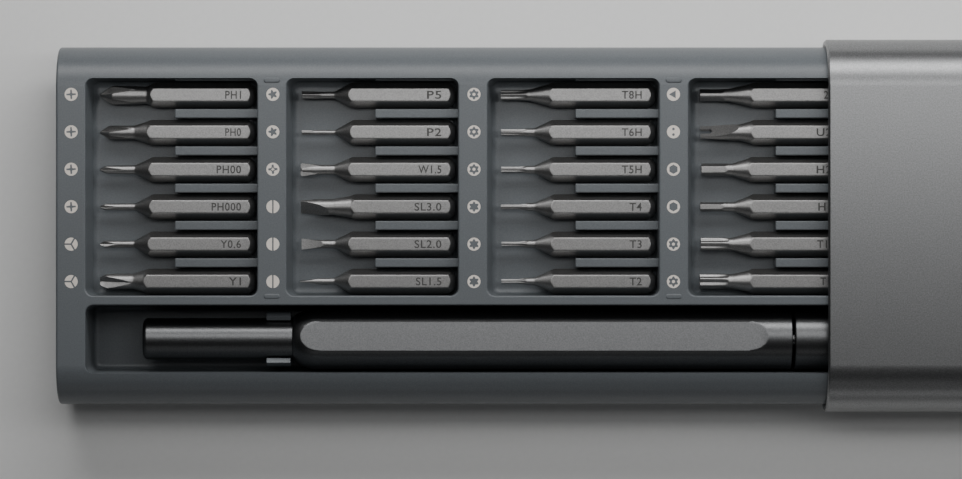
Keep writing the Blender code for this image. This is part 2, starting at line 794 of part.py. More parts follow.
def grip(axis):
    """The turned grip: nose, shoulder and body, with three milled flats, bored at both ends."""
    corner = 0.8 * MM
    shoulder = 1.9 * MM
    rear_edge = 0.3 * MM
    nose = arc(HANDLE_START + corner, NOSE_RADIUS - corner, corner, 90, 180, 4)
    rise = GRIP_RADIUS - NOSE_RADIUS
    quarter = [math.pi / 2 * i / 4 for i in range(5)]
    dome = [
        (NOSE_END + shoulder * (1 - math.cos(a)), NOSE_RADIUS + rise * math.sin(a)) for a in quarter
    ]
    profile = [
        (AXLE_BORE_START, 0),
        (AXLE_BORE_START, AXLE_BORE),
        (GRIP_END, AXLE_BORE),
        (GRIP_END, GRIP_RADIUS - rear_edge),
        (GRIP_END - rear_edge, GRIP_RADIUS),
        *dome[::-1],
        *nose,
        (HANDLE_START, SOCKET_BORE),
        (SOCKET_BORE_END, SOCKET_BORE),
        (SOCKET_BORE_END, 0),
    ]
    body = turned("grip_body", profile, axis, 32, "handle")
    distance = math.sqrt(GRIP_RADIUS**2 - (FLAT_WIDTH / 2) ** 2)
    depth = GRIP_RADIUS - distance
    cutter_radius = (FLAT_RUN_OUT**2 + depth**2) / (2 * depth)
    sweep = math.degrees(math.asin(FLAT_RUN_OUT / cutter_radius))
    run_out = arc(FLAT_END, distance + cutter_radius, cutter_radius, -90, sweep - 90, 5)
    outside = 2 * GRIP_RADIUS
    side = [
        (FLAT_START, distance),
        *run_out,
        (FLAT_END + FLAT_RUN_OUT, outside),
        (FLAT_START, outside),
    ]
    mill = flat_outline("mill", [side], -GRIP_RADIUS, GRIP_RADIUS)
    upright = Matrix(((1, 0, 0, 0), (0, 0, -1, 0), (0, 1, 0, 0), (0, 0, 0, 1)))
    centre = at(TRAY_LEFT, HANDLE_Y, HANDLE_HEIGHT)
    for index in range(FLAT_COUNT):
        roll = Matrix.Rotation(2 * math.pi * index / FLAT_COUNT - FLAT_ROLL, 4, "X")
        combine(body, mill.copy(), centre @ roll @ upright)
    smooth(body)
    return body


def socket(axis):
    """The steel insert with the hexagon that takes a bit, and the magnet behind it."""
    start = HANDLE_START + GAP
    end = start + SOCKET_LENGTH
    radius = SOCKET_BORE - GAP
    bore = [circle(radius, 24), polygon(6, BIT_FLATS / 2 + SOCKET_PLAY)]
    insert = piece("bit_socket", flat_outline("bit_socket", bore, start, end), axis, "bright_steel")
    smooth(insert)
    face = end + GAP
    magnet = piece(
        "socket_magnet",
        rod_mesh("socket_magnet", SOCKET_MAGNET_RADIUS, face, face + SOCKET_MAGNET_LENGTH, 20),
        axis,
        "magnet",
    )
    smooth(magnet)
    return insert, magnet


def cap_bearing(axis):
    """The axle that the cap turns on, fixed in the grip, with the bearing's inner ring and its clip."""
    axle = piece(
        "cap_axle",
        rod_mesh("cap_axle", AXLE_RADIUS, AXLE_BORE_START + GAP, AXLE_END, 20),
        axis,
        "bright_steel",
    )
    inner_ring = turned(
        "bearing_inner_ring",
        ring(RACE_START, RACE_END, AXLE_RADIUS + RACE_FIT, INNER_RACE_RADIUS),
        axis,
        24,
        "bright_steel",
        closed=True,
    )
    clip_end = AXLE_CLIP_START + AXLE_CLIP_THICKNESS
    keeper = turned(
        "axle_clip",
        ring(AXLE_CLIP_START, clip_end, AXLE_RADIUS + RACE_FIT, INNER_RACE_RADIUS),
        axis,
        20,
        "bright_steel",
        closed=True,
    )
    for thing in (axle, inner_ring, keeper):
        smooth(thing)
    return axle, inner_ring, keeper


def ring(start, end, inner, outer):
    """A ring's profile: down its outer side and back up its bore."""
    return [(end, outer), (start, outer), (start, inner), (end, inner)]


def end_cap(axis):
    """The rotating cap, a cup over the bearing, and the bearing's outer ring pressed into it."""
    edge = 0.5 * MM
    front_edge = 0.2 * MM
    floor = CAP_END - CAP_FACE
    inside = GRIP_RADIUS - CAP_WALL
    profile = [
        (CAP_END, 0),
        (CAP_END, GRIP_RADIUS - edge),
        (CAP_END - edge * 0.3, GRIP_RADIUS - edge * 0.3),
        (CAP_END - edge, GRIP_RADIUS),
        (CAP_START + front_edge, GRIP_RADIUS),
        (CAP_START, GRIP_RADIUS - front_edge),
        (CAP_START, inside),
        (floor, inside),
        (floor, 0),
    ]
    cap = turned("end_cap", profile, axis, 32, "handle")
    outer_ring = turned(
        "bearing_outer_ring",
        ring(RACE_START, RACE_END, OUTER_RACE_BORE, inside - GAP),
        axis,
        24,
        "bright_steel",
        closed=True,
    )
    smooth(cap)
    smooth(outer_ring)
    return cap, outer_ring


# ---------------------------------------------------------------- the bits


def tip_sections():
    """The outlines that each kind of tip keeps, by kind: what is outside them is cut away."""
    return {
        "cross": lambda size: [wings(4, size / 2, size * 0.11)],
        "triwing": lambda size: [wings(3, size / 2, size * 0.11)],
        "star": lambda size: [star(6, size / 2, size * 0.14)],
        "pentalobe": lambda size: [star(5, size / 2, size * 0.13)],
        "blade": lambda size: [blade(1.3 * size, 0.4 * MM)],
        "hexagon": lambda size: [polygon(6, size / 2)],
        "triangle": lambda size: [polygon(3, size / 4)],
        "fork": lambda size: fork(1.3 * size, 0.8 * MM, size * 0.36),
    }


# node name, kind of tip, size across the tip and shank diameter in mm, and whether it is drilled
BITS = (
    (
        ("bit_ph1", "cross", 3.4, 3.4, False),
        ("bit_ph0", "cross", 2.8, 2.8, False),
        ("bit_ph00", "cross", 1.8, 1.8, False),
        ("bit_ph000", "cross", 1.5, 1.5, False),
        ("bit_y06", "triwing", 1.5, 1.5, False),
        ("bit_y1", "triwing", 3.0, 3.0, False),
    ),
    (
        ("bit_p5", "pentalobe", 1.5, 1.7, False),
        ("bit_p2", "pentalobe", 0.9, 1.1, False),
        ("bit_w15", "cross", 2.2, 2.2, False),
        ("bit_sl30", "blade", 3.0, 3.2, False),
        ("bit_sl20", "blade", 2.0, 2.2, False),
        ("bit_sl15", "blade", 1.5, 1.6, False),
    ),
    (
        ("bit_t8h", "star", 2.3, 2.5, True),
        ("bit_t6h", "star", 1.7, 1.9, True),
        ("bit_t5h", "star", 1.5, 1.7, True),
        ("bit_t4", "star", 1.35, 1.5, False),
        ("bit_t3", "star", 1.2, 1.4, False),
        ("bit_t2", "star", 1.0, 1.2, False),
    ),
    (
        ("bit_tri23", "triangle", 2.3, 2.6, False),
        ("bit_u26", "fork", 2.6, 2.8, False),
        ("bit_h20", "hexagon", 2.0, 2.4, False),
        ("bit_h15", "hexagon", 1.5, 1.8, False),
        ("bit_t10h", "star", 2.7, 2.8, True),
        ("bit_t15h", "star", 3.2, 3.2, True),
    ),
)
POINTED = ("cross", "triwing")


def bits(tray_empty):
    """Every bit, each parented to an empty on its own joint."""
    sections = tip_sections()
    for column, names in enumerate(BITS):
        for row, (name, kind, size, shank, drilled) in enumerate(names):
            rear = TRAY_LEFT + BIT_START + column * POCKET_PITCH + BIT_LENGTH
            joint = joint_empty(f"{name}_joint", at(rear, row_y(row), BIT_AXIS_HEIGHT + BIT_FLATS / 2))
            ride(joint, tray_empty)
            axis = at(rear, row_y(row), BIT_AXIS_HEIGHT) @ ALONG_MINUS_X
            thing = bit(name, kind, size * MM, shank * MM, sections[kind](size * MM), axis)
            if drilled:
                bottom = BIT_LENGTH - DRILL_DEPTH
                drill = rod_mesh("drill", 0.17 * size * MM, bottom, BIT_LENGTH + OVERRUN, 8)
                combine(thing, drill, axis)
            ride(thing, joint)


def bit(name, kind, size, shank, section, axis):
    """A bit: a turned envelope kept inside a hexagon, with its tip cut to the drive's section."""
    tip_end = BIT_LENGTH
    corner = BIT_FLATS / 2 / math.cos(math.radians(30))
    body = corner + 0.1 * MM  # so that the hexagon cuts all of it
    point = 0.25 * size if kind in POINTED else size / 2
    point_length = 0.45 * size if kind in POINTED else 0.1 * MM
    shank_end = tip_end - BIT_NECK
    profile = [
        (tip_end, 0),
        (tip_end, max(point - 0.1 * MM, 0.15 * MM)),
        (tip_end - point_length, shank / 2),
        (shank_end, shank / 2),
        (tip_end - BIT_CONE_START, body),
        (BIT_END_CHAMFER, body),
        (0, body - BIT_END_CHAMFER),
        (0, 0),
    ]
    thing = turned(name, profile, axis, 12, "bit_steel")
    prism = rod_mesh("hexagon", corner, -OVERRUN, tip_end + OVERRUN, 6)
    combine(thing, prism, axis, "INTERSECT")
    around = [circle(4 * MM, 12), *section]
    cut = flat_outline("tip_cut", around, tip_end - TIP_CUT, tip_end + OVERRUN)
    combine(thing, cut, axis)
    smooth(thing)
    return thing


# ---------------------------------------------------------------- assembly


def joint_empty(name, matrix):
    """An empty on a joint's axis."""
    empty = bpy.data.objects.new(name, None)
    empty.empty_display_size = 3 * MM
    empty.matrix_world = matrix
    PARTS.objects.link(empty)
    return empty


def ride(child, parent):
    """Parent a piece without moving it."""
    child.parent = parent
    child.matrix_parent_inverse = parent.matrix_world.inverted()


def clear():
    """Remove what the scene holds."""
    for thing in list(bpy.data.objects):
        bpy.data.objects.remove(thing, do_unlink=True)


def collection(name):
    """A new collection in the scene."""
    made = bpy.data.collections.new(name)
    SCENE.collection.children.link(made)
    return made


clear()
SCENE = bpy.context.scene
PARTS = collection("precision_screwdriver_set")
GUIDES = collection("guides")
sleeve()
tray_joint = tray()
handle(tray_joint)
bits(tray_joint)
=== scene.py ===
"""The looks of a pocket screwdriver kit: a blasted sleeve, a moulded tray, 24 bits and a handle.

Every new piece is a surface worked out on a grid, placed in its mesh, and rides on its body.
"""

import math

import bmesh
import bpy
import numpy as np
from bpy.props import FloatProperty, FloatVectorProperty, PointerProperty
from bpy.types import Operator, Panel, PropertyGroup
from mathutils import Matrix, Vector


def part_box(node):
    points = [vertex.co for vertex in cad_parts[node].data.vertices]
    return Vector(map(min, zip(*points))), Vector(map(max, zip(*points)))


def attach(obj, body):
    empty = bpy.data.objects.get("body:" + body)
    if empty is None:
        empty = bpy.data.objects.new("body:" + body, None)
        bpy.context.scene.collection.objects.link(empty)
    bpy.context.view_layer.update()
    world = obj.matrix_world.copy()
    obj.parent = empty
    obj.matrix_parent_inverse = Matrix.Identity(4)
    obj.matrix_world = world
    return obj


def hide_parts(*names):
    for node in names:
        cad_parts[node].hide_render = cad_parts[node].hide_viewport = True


bl_info = {
    "name": "Pocket Screwdriver Kit",
    "version": (1, 0, 0),
    "blender": (4, 5, 0),
    "location": "3D View > Sidebar > Kit",
    "description": "Builds the finished sleeve, tray, bits and handle of a pocket screwdriver kit",
    "category": "Add Mesh",
}

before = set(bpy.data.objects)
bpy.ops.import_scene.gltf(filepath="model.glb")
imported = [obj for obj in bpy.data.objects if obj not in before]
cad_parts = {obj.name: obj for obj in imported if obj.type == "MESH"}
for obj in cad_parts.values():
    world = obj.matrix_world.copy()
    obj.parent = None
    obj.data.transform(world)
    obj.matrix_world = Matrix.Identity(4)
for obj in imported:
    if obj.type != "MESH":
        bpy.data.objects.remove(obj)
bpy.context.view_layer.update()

MM = 0.001

# ---------------------------------------------------------------- places and sizes

SLEEVE_LOW, SLEEVE_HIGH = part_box("sleeve_shell")
CAP_LOW, CAP_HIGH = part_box("rear_end_cap")
TRAY_LOW, TRAY_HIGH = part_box("tray_frame")
PLATE_LOW, PLATE_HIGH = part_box("tray_base_plate")
SCREW_BOXES = [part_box(f"base_screw_{index}") for index in range(1, 5)]

GAP = 0.3 * MM
HOLE_RADIUS = 1.1 * MM
SLEEVE_WALL = 1.1 * MM
SLEEVE_WIDTH = SLEEVE_HIGH.y - SLEEVE_LOW.y
SLEEVE_HEIGHT = SLEEVE_HIGH.z
MIDDLE = SLEEVE_HEIGHT / 2
TRAY_LEFT = TRAY_LOW.x
TRAY_RIGHT = TRAY_HIGH.x
TRAY_WIDTH = TRAY_HIGH.y - TRAY_LOW.y
TRAY_BOTTOM = SLEEVE_WALL + GAP
TRAY_TOP = SLEEVE_HEIGHT - TRAY_BOTTOM
TRAY_HEIGHT = TRAY_TOP - TRAY_BOTTOM

POCKETS = 4
POCKET_PITCH = 36.08 * MM
POCKET_FIRST = 5.35 * MM
POCKET_LENGTH = 30.85 * MM
POCKET_LOW = -12.6 * MM
POCKET_HIGH = 26.5 * MM
POCKET_DEPTH = 6.5 * MM
POCKET_CORNER = 1.4 * MM
POCKET_LEANS = (0.95 * MM, 0.05 * MM, 0.25 * MM, 0.4 * MM)
POCKET_FLOOR = TRAY_TOP - POCKET_DEPTH
RIB_START = 15.85 * MM
RIB_TOP = TRAY_TOP - 2.5 * MM
RIB_HALF = 0.81 * MM
ROWS = 6
ROW_PITCH = 6.72 * MM
ROWS_CENTRE = 6.75 * MM

TROUGH = (TRAY_LEFT + POCKET_FIRST, -26.6 * MM, TRAY_LEFT + 144.6 * MM, -14.3 * MM)
TROUGH_DEPTH = 12.2 * MM

AXIS_Y = -20.5 * MM
AXIS_Z = TRAY_TOP - 6.4 * MM
NOSE_RADIUS = 3.75 * MM
GRIP_RADIUS = 5.5 * MM

BIT_LENGTH = 28 * MM
BIT_START = 7.6 * MM
BIT_HALF = 2.0 * MM
BIT_AXIS_Z = POCKET_FLOOR + GAP + BIT_HALF

# ---------------------------------------------------------------- settings


def size(name, description, default, low=0.0, high=0.01):
    """A length that a user may change."""
    return FloatProperty(
        name=name, description=description, default=default, min=low, max=high, unit="LENGTH", precision=5
    )


def share(name, description, default):
    """A share from none to all."""
    return FloatProperty(
        name=name, description=description, default=default, min=0.0, max=1.0, subtype="FACTOR"
    )


def paint(name, description, default):
    """A colour."""
    return FloatVectorProperty(
        name=name, description=description, default=default, size=3, min=0.0, max=1.0, subtype="COLOR"
    )


class KitSleeveSettings(PropertyGroup):
    """The sleeve and its end cap."""

    chamfer: size("Mouth chamfer", "Width of the cut round the sleeve's open end", 0.35 * MM)
    end_round: size("End rounding", "Rounding of the closed end's edge", 0.5 * MM)
    colour: paint("Metal", "Colour of the anodised aluminium", (0.268, 0.271, 0.274))
    roughness: share("Roughness", "How matt the blasted surface is", 0.35)


class KitTraySettings(PropertyGroup):
    """The moulded tray and what is printed on it."""

    edge: size("Edge rounding", "Rounding of the pockets' upper edges", 0.28 * MM, 0.05 * MM, 0.5 * MM)
    foot: size("Floor rounding", "Rounding between a pocket's walls and floor", 1.2 * MM, 0.2 * MM, 2 * MM)
    end_round: size("End rounding", "Rounding of the tray's ends", 0.45 * MM, 0.05 * MM, 1 * MM)
    colour: paint("Plastic", "Colour of the tray", (0.118, 0.130, 0.140))
    roughness: share("Roughness", "How matt the moulding is", 0.36)
    symbol: paint("Symbols", "Colour of the printed drive symbols", (0.80, 0.735, 0.67))


class KitBitSettings(PropertyGroup):
    """The bits and their engraved codes."""

    end_round: size("End chamfer", "Length of the chamfered rear end", 1.0 * MM, 0.2 * MM, 2 * MM)
    colour: paint("Steel", "Colour of the blasted tool steel", (0.325, 0.321, 0.317))
    roughness: share("Roughness", "How matt the steel is", 0.4)
    code_height: size("Code height", "Height of the engraved capitals", 1.45 * MM, 0.5 * MM, 2.2 * MM)
    code: paint("Codes", "Colour of the engraved codes", (0.062, 0.060, 0.058))


class KitHandleSettings(PropertyGroup):
    """The grip and its rotating end cap."""

    corner: size("Nose rounding", "Rounding of the nose's front corner", 0.8 * MM, 0.1 * MM, 1.5 * MM)
    colour: paint("Metal", "Colour of the anodised grip", (0.150, 0.152, 0.155))
    roughness: share("Roughness", "How matt the grip is", 0.33)


class KitStageSettings(PropertyGroup):
    """The floor, the lights and the camera."""

    floor: paint("Floor", "Colour of the floor", (0.86, 0.86, 0.85))
    power: FloatProperty(name="Power", description="Power of the bank of lights", default=1.0, min=0.0)
    fill: share("Fill", "Strength of the light from all round", 0.025)


# ---------------------------------------------------------------- surfaces


def skin(name, points, wrap=False):
    """A closed mesh through rings of points, an array of rings by points by 3.

    Each point is joined to its neighbours on its ring and on the next ring. Where the rings don't
    wrap round, the first and the last are closed by a flat face, or by a pole if they have no size.
    """
    rings, columns = points.shape[:2]
    i = np.arange(rings if wrap else rings - 1)[:, None]
    j = np.arange(columns)[None, :]
    after = (i + 1) % rings * columns
    beside = (j + 1) % columns
    faces = np.stack([i * columns + j, i * columns + beside, after + beside, after + j], axis=-1)
    faces = faces.reshape(-1, 4).tolist()
    if not wrap:
        last = (rings - 1) * columns
        faces.append(list(range(columns))[::-1])
        faces.append(list(range(last, last + columns)))
    mesh = bpy.data.meshes.new(name)
    mesh.from_pydata(points.reshape(-1, 3), [], faces)
    return tidy(mesh)


def tidy(mesh):
    """Merges doubles, turns the faces outwards, and stops the script if the surface isn't closed."""
    work = bmesh.new()
    work.from_mesh(mesh)
    bmesh.ops.remove_doubles(work, verts=work.verts, dist=1e-7)
    bmesh.ops.dissolve_degenerate(work, dist=1e-8, edges=work.edges)
    bmesh.ops.recalc_face_normals(work, faces=work.faces)
    gaps = sum(not edge.is_manifold for edge in work.edges)
    work.to_mesh(mesh)
    work.free()
    if gaps:
        raise RuntimeError(f"{mesh.name} has {gaps} open edges")
    return mesh


def joined(name, meshes):
    """One mesh of several separate closed ones."""
    work = bmesh.new()
    for mesh in meshes:
        work.from_mesh(mesh)
        bpy.data.meshes.remove(mesh)
    mesh = bpy.data.meshes.new(name)
    work.to_mesh(mesh)
    work.free()
    return mesh


def carve(mesh, tool, operation="DIFFERENCE"):
    """The mesh with another cut from it, or joined to it, by an exact Boolean."""
    target = bpy.data.objects.new("carved", mesh)
    cutter = bpy.data.objects.new("cutter", tool)
    for thing in (target, cutter):
        bpy.context.scene.collection.objects.link(thing)
    change = target.modifiers.new("carve", "BOOLEAN")
    change.solver = "EXACT"
    change.operation = operation
    change.object = cutter
    graph = bpy.context.evaluated_depsgraph_get()
    made = bpy.data.meshes.new_from_object(target.evaluated_get(graph))
    made.name = mesh.name
    for thing, data in ((target, mesh), (cutter, tool)):
        bpy.data.objects.remove(thing)
        bpy.data.meshes.remove(data)
    return made


def stadium_rings(x, inset, width, height, steps=40):
    """A section with full-round sides carried along X.

    The half circles' centres stay half the width less half the height from the middle, and their
    radius is half the height less each ring's inset.
    """
    x = np.asarray(x, float)[:, None]
    half_turn = np.linspace(-np.pi / 2, np.pi / 2, steps + 1)
    around = np.concatenate([half_turn, half_turn + np.pi])
    side = np.repeat([1.0, -1.0], steps + 1)
    radius = height / 2 - np.asarray(inset, float)[:, None]
    y = side * (width - height) / 2 + radius * np.cos(around)
    z = MIDDLE + radius * np.sin(around)
    return np.stack([x + 0 * y, y, z], axis=-1)


def terrace(corners, levels, steps=8):
    """Rings of a rounded rectangle, one for each level.

    A level is its height, how far the left, low, right and high sides stand in from the corners
    given, and its corner radius. Each corner is a quarter circle of that radius.
    """
    left, low, right, high = corners
    z, in_left, in_low, in_right, in_high, radius = np.asarray(levels, float).T[:, :, None]
    quarter = np.linspace(0, np.pi / 2, steps + 1)
    turn = np.concatenate([quarter - np.pi / 2, quarter, quarter + np.pi / 2, quarter + np.pi])
    at_right = np.repeat([True, True, False, False], steps + 1)
    at_high = np.repeat([False, True, True, False], steps + 1)
    x = np.where(at_right, right - in_right - radius, left + in_left + radius) + radius * np.cos(turn)
    y = np.where(at_high, high - in_high - radius, low + in_low + radius) + radius * np.sin(turn)
    return np.stack([x, y, z + 0 * x], axis=-1)


def basin(name, corners, leans, depth, corner, edge, foot):
    """A cutter for a sunk pocket.

    Its walls lean in by their leans over the depth, its upper edge flares out on a quarter circle
    of radius edge, and its walls meet the floor on a quarter circle of radius foot.
    """
    flare = np.radians([80, 60, 40, 20, 0])
    bend = np.radians([0, 15, 30, 45, 60, 75, 90])
    outer = edge * (np.cos(flare) - 1)
    inner = foot * (1 - np.cos(bend))
    reach = outer[0] - 0.08 * MM
    inset = np.concatenate([[reach, reach], outer, inner])
    top = TRAY_TOP + edge * (np.sin(flare) - 1)
    bottom = TRAY_TOP - depth + foot * (1 - np.sin(bend))
    z = np.concatenate([[TRAY_TOP + 0.5 * MM, TRAY_TOP + 0.01 * MM], top, bottom])
    lean = np.clip((TRAY_TOP - z) / depth, 0, 1)
    sides = [inset + each * lean for each in leans]
    radius = np.maximum(corner - inset, 0.2 * MM)
    return skin(name, terrace(corners, np.stack([z, *sides, radius], axis=-1)))


def block(name, corners, low, high, corner, edge=0.0, lower_edge=0.0):
    """A rounded rectangle between two heights, its rims rounded by quarter circles."""
    bend = np.radians([0, 22.5, 45, 67.5, 90])
    rows = []
    if lower_edge:
        rows += [(low + lower_edge * (1 - math.sin(a)), lower_edge * (1 - math.cos(a))) for a in bend[::-1]]
    else:
        rows.append((low, 0.0))
    if edge:
        rows += [(high - edge * (1 - math.sin(a)), edge * (1 - math.cos(a))) for a in bend]
    else:
        rows.append((high, 0.0))
    levels = [(z, i, i, i, i, max(corner - i, 0.02 * MM)) for z, i in rows]
    return skin(name, terrace(corners, levels))


def polar(radius, angle, *heights):
    """Points at a radius and an angle: (radius cos angle, radius sin angle), and their heights."""
    flat = (radius * np.cos(angle), radius * np.sin(angle))
    return np.stack([*flat, *(height + 0 * flat[0] for height in heights)], axis=-1)


def lathe_rings(profile, columns=96):
    """A turned form about local Z: each profile point (height, radius) is carried round a circle."""
    height, radius = np.asarray(profile, float).T[:, :, None]
    return polar(radius, np.linspace(0, 2 * np.pi, columns, endpoint=False), height)


def rounded_profile(profile, radius, steps=4):
    """A profile with its inner corners rounded: each becomes a quadratic curve of the given reach."""
    points = [np.asarray(profile[0], float)]
    for before, here, after in zip(profile, profile[1:], profile[2:]):
        before, here, after = (np.asarray(p, float) for p in (before, here, after))
        back, on = before - here, after - here
        start = here + back * min(radius / np.linalg.norm(back), 0.45)
        end = here + on * min(radius / np.linalg.norm(on), 0.45)
        for t in np.linspace(0, 1, steps + 1):
            points.append((1 - t) ** 2 * start + 2 * t * (1 - t) * here + t**2 * end)
    points.append(np.asarray(profile[-1], float))
    return points


# local Z to world X, as the handle lies, and local Z to world -X, as the bits lie
HANDLE_TURN = np.array([[0, 0, 1], [0, 1, 0], [-1, 0, 0]], float)
BIT_TURN = np.array([[0, 0, -1], [0, 1, 0], [1, 0, 0]], float)
UPRIGHT = np.eye(3)


def placed(points, turn, place):
    """Points turned and moved to their place."""
    return points @ turn.T + np.array(place)


# ---------------------------------------------------------------- finishes

CLOUD_DARK, CLOUD_LIGHT = (0.985, 0.985, 0.985), (1.0, 1.0, 1.0)
ROUGHNESS_SWING = 0.015
# each finish: how metallic it is, how strong its specks are, the scales of its specks and of its
# broad tone per metre, and its relief's depth in metres and strength
FINISHES = {
    "blasted_aluminium": (1.0, 0.17, 4200.0, 40.0, 9e-6, 0.35),
    "matt_moulding": (0.0, 0.10, 4200.0, 50.0, 8e-6, 0.25),
    "blasted_steel": (1.0, 0.16, 4600.0, 120.0, 8e-6, 0.35),
    "anodised_grip": (1.0, 0.16, 4400.0, 80.0, 8e-6, 0.35),
    "turned_steel": (1.0, 0.05, 4000.0, 80.0, 4e-6, 0.3),
    "spring_wire": (1.0, 0.08, 3500.0, 300.0, 5e-6, 0.3),
    "nickel_plate": (1.0, 0.03, 2500.0, 150.0, 3e-6, 0.2),
    "black_moulding": (0.0, 0.10, 3000.0, 60.0, 1.2e-5, 0.4),
    "slick_moulding": (0.0, 0.06, 2500.0, 60.0, 8e-6, 0.25),
    "printed_ink": (0.0, 0.05, 5000.0, 200.0, 6e-6, 0.3),
    "engraved_mark": (0.0, 0.35, 9000.0, 2500.0, 4e-6, 0.3),
    "floor_board": (0.0, 0.01, 900.0, 4.0, 1e-5, 0.05),
}


def add_node(tree, kind, values, links, **traits):
    """A shader node with its traits, its inputs' values, and the outputs that its inputs take."""
    node = tree.nodes.new(kind)
    for key, value in traits.items():
        setattr(node, key, value)
    for key, value in values.items():
        node.inputs[key].default_value = value
    for key, source in links.items():
        tree.links.new(source, node.inputs[key])
    return node


def grain(tree, coordinates, scale, detail=2.0, roughness=0.5):
    """A noise pattern over the piece's own coordinates."""
    values = {"Scale": scale, "Detail": detail, "Roughness": roughness}
    return add_node(tree, "ShaderNodeTexNoise", values, {"Vector": coordinates}).outputs["Fac"]


def spread(tree, pattern, low, high):
    """A pattern's middle range stretched between two values."""
    values = {"From Min": 0.3, "From Max": 0.7, "To Min": low, "To Max": high}
    return add_node(tree, "ShaderNodeMapRange", values, {"Value": pattern}).outputs["Result"]


def blend_colours(tree, pattern, low, high):
    """A colour between two, by a pattern's middle range."""
    values = {"A": (*low, 1), "B": (*high, 1)}
    links = {"Factor": spread(tree, pattern, 0, 1)}
    return add_node(tree, "ShaderNodeMix", values, links, data_type="RGBA").outputs["Result"]


def shade(colour, factor):
    """A colour made lighter or darker."""
    return tuple(min(1.0, channel * factor) for channel in colour)


def finish(name, colour, roughness):
    """A finished surface: fine specks and a faint broad tone in its colour, with its roughness and
    its relief from a coarser mottle and the same specks."""
    found = bpy.data.materials.get(name)
    if found:
        return found
    metallic, speck, fine, broad, depth, strength = FINISHES[name]
    made = bpy.data.materials.new(name)
    made.use_nodes = True
    tree = made.node_tree
    shader = tree.nodes["Principled BSDF"]
    shader.inputs["Metallic"].default_value = metallic
    place = tree.nodes.new("ShaderNodeTexCoord").outputs["Object"]
    specks = grain(tree, place, fine)
    tone = grain(tree, place, broad, 3.0)
    mottle = grain(tree, place, fine * 0.4, 2.0, 0.6)
    base = blend_colours(tree, specks, shade(colour, 1 - speck), shade(colour, 1 + speck))
    cloud = blend_colours(tree, tone, CLOUD_DARK, CLOUD_LIGHT)
    traits = {"data_type": "RGBA", "blend_type": "MULTIPLY"}
    wash = add_node(tree, "ShaderNodeMix", {"Factor": 1.0}, {"A": base, "B": cloud}, **traits)
    tree.links.new(wash.outputs["Result"], shader.inputs["Base Color"])
    rough = spread(tree, mottle, roughness - ROUGHNESS_SWING, roughness + ROUGHNESS_SWING)
    tree.links.new(rough, shader.inputs["Roughness"])
    links = {"Height": mottle}
    under = add_node(tree, "ShaderNodeBump", {"Strength": strength * 0.3, "Distance": depth * 2}, links)
    links = {"Height": specks, "Normal": under.outputs["Normal"]}
    over = add_node(tree, "ShaderNodeBump", {"Strength": strength, "Distance": depth}, links)
    tree.links.new(over.outputs["Normal"], shader.inputs["Normal"])
    return made


def chosen_finish(name, settings):
    """A finish in the colour and roughness that the user has set."""
    return finish(name, settings.colour, settings.roughness)


def turned_steel():
    """Bright turned steel, for screws, axle, socket and bearing."""
    return finish("turned_steel", (0.58, 0.58, 0.585), 0.27)


def black_moulding():
    """Black moulded plastic."""
    return finish("black_moulding", (0.022, 0.022, 0.023), 0.5)


def show(name, mesh, material, body, stands_for=(), sharp=32.0):
    """Puts a finished piece in the scene, riding on its body and standing for its CAD nodes."""
    thing = bpy.data.objects.new(name, mesh)
    bpy.context.scene.collection.objects.link(thing)
    mesh.materials.clear()
    mesh.materials.append(material)
    mesh.shade_smooth()
    mesh.set_sharp_from_angle(angle=math.radians(sharp))
    even = thing.modifiers.new("even_shading", "WEIGHTED_NORMAL")
    even.keep_sharp = True
    even.weight = 80
    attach(thing, body)
    if stands_for:
        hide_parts(*stands_for)
    return thing


# ---------------------------------------------------------------- the sleeve


class KIT_OT_sleeve(Operator):
    """Build the sleeve and the cap that closes its far end"""

    bl_idname = "kit.sleeve"
    bl_label = "Sleeve"

    def execute(self, context):
        settings = context.scene.kit_sleeve
        metal = chosen_finish("blasted_aluminium", settings)
        show("sleeve", sleeve_mesh(settings), metal, "sleeve", ["sleeve_shell"])
        show("sleeve_end", end_mesh(settings), metal, "sleeve", ["rear_end_cap"])
        return {"FINISHED"}


def sleeve_mesh(settings):
    """A closed profile, its mouth chamfered outside and eased inside, carried round the stadium."""
    front, back = SLEEVE_LOW.x, SLEEVE_HIGH.x
    cut = settings.chamfer
    ease = 0.05 * MM
    inner_cut = 0.25 * MM
    profile = [
        (front + cut + ease, 0),
        (front + cut, 0.015 * MM),
        (front + 0.02 * MM, cut - 0.03 * MM),
        (front, cut + 0.01 * MM),
        (front, SLEEVE_WALL - inner_cut),
        (front + inner_cut, SLEEVE_WALL),
        (back, SLEEVE_WALL),
        (back, 0.1 * MM),
        (back - 0.1 * MM, 0),
    ]
    x, inset = np.array(profile).T
    return skin("sleeve", stadium_rings(x, inset, SLEEVE_WIDTH, SLEEVE_HEIGHT, 56), wrap=True)


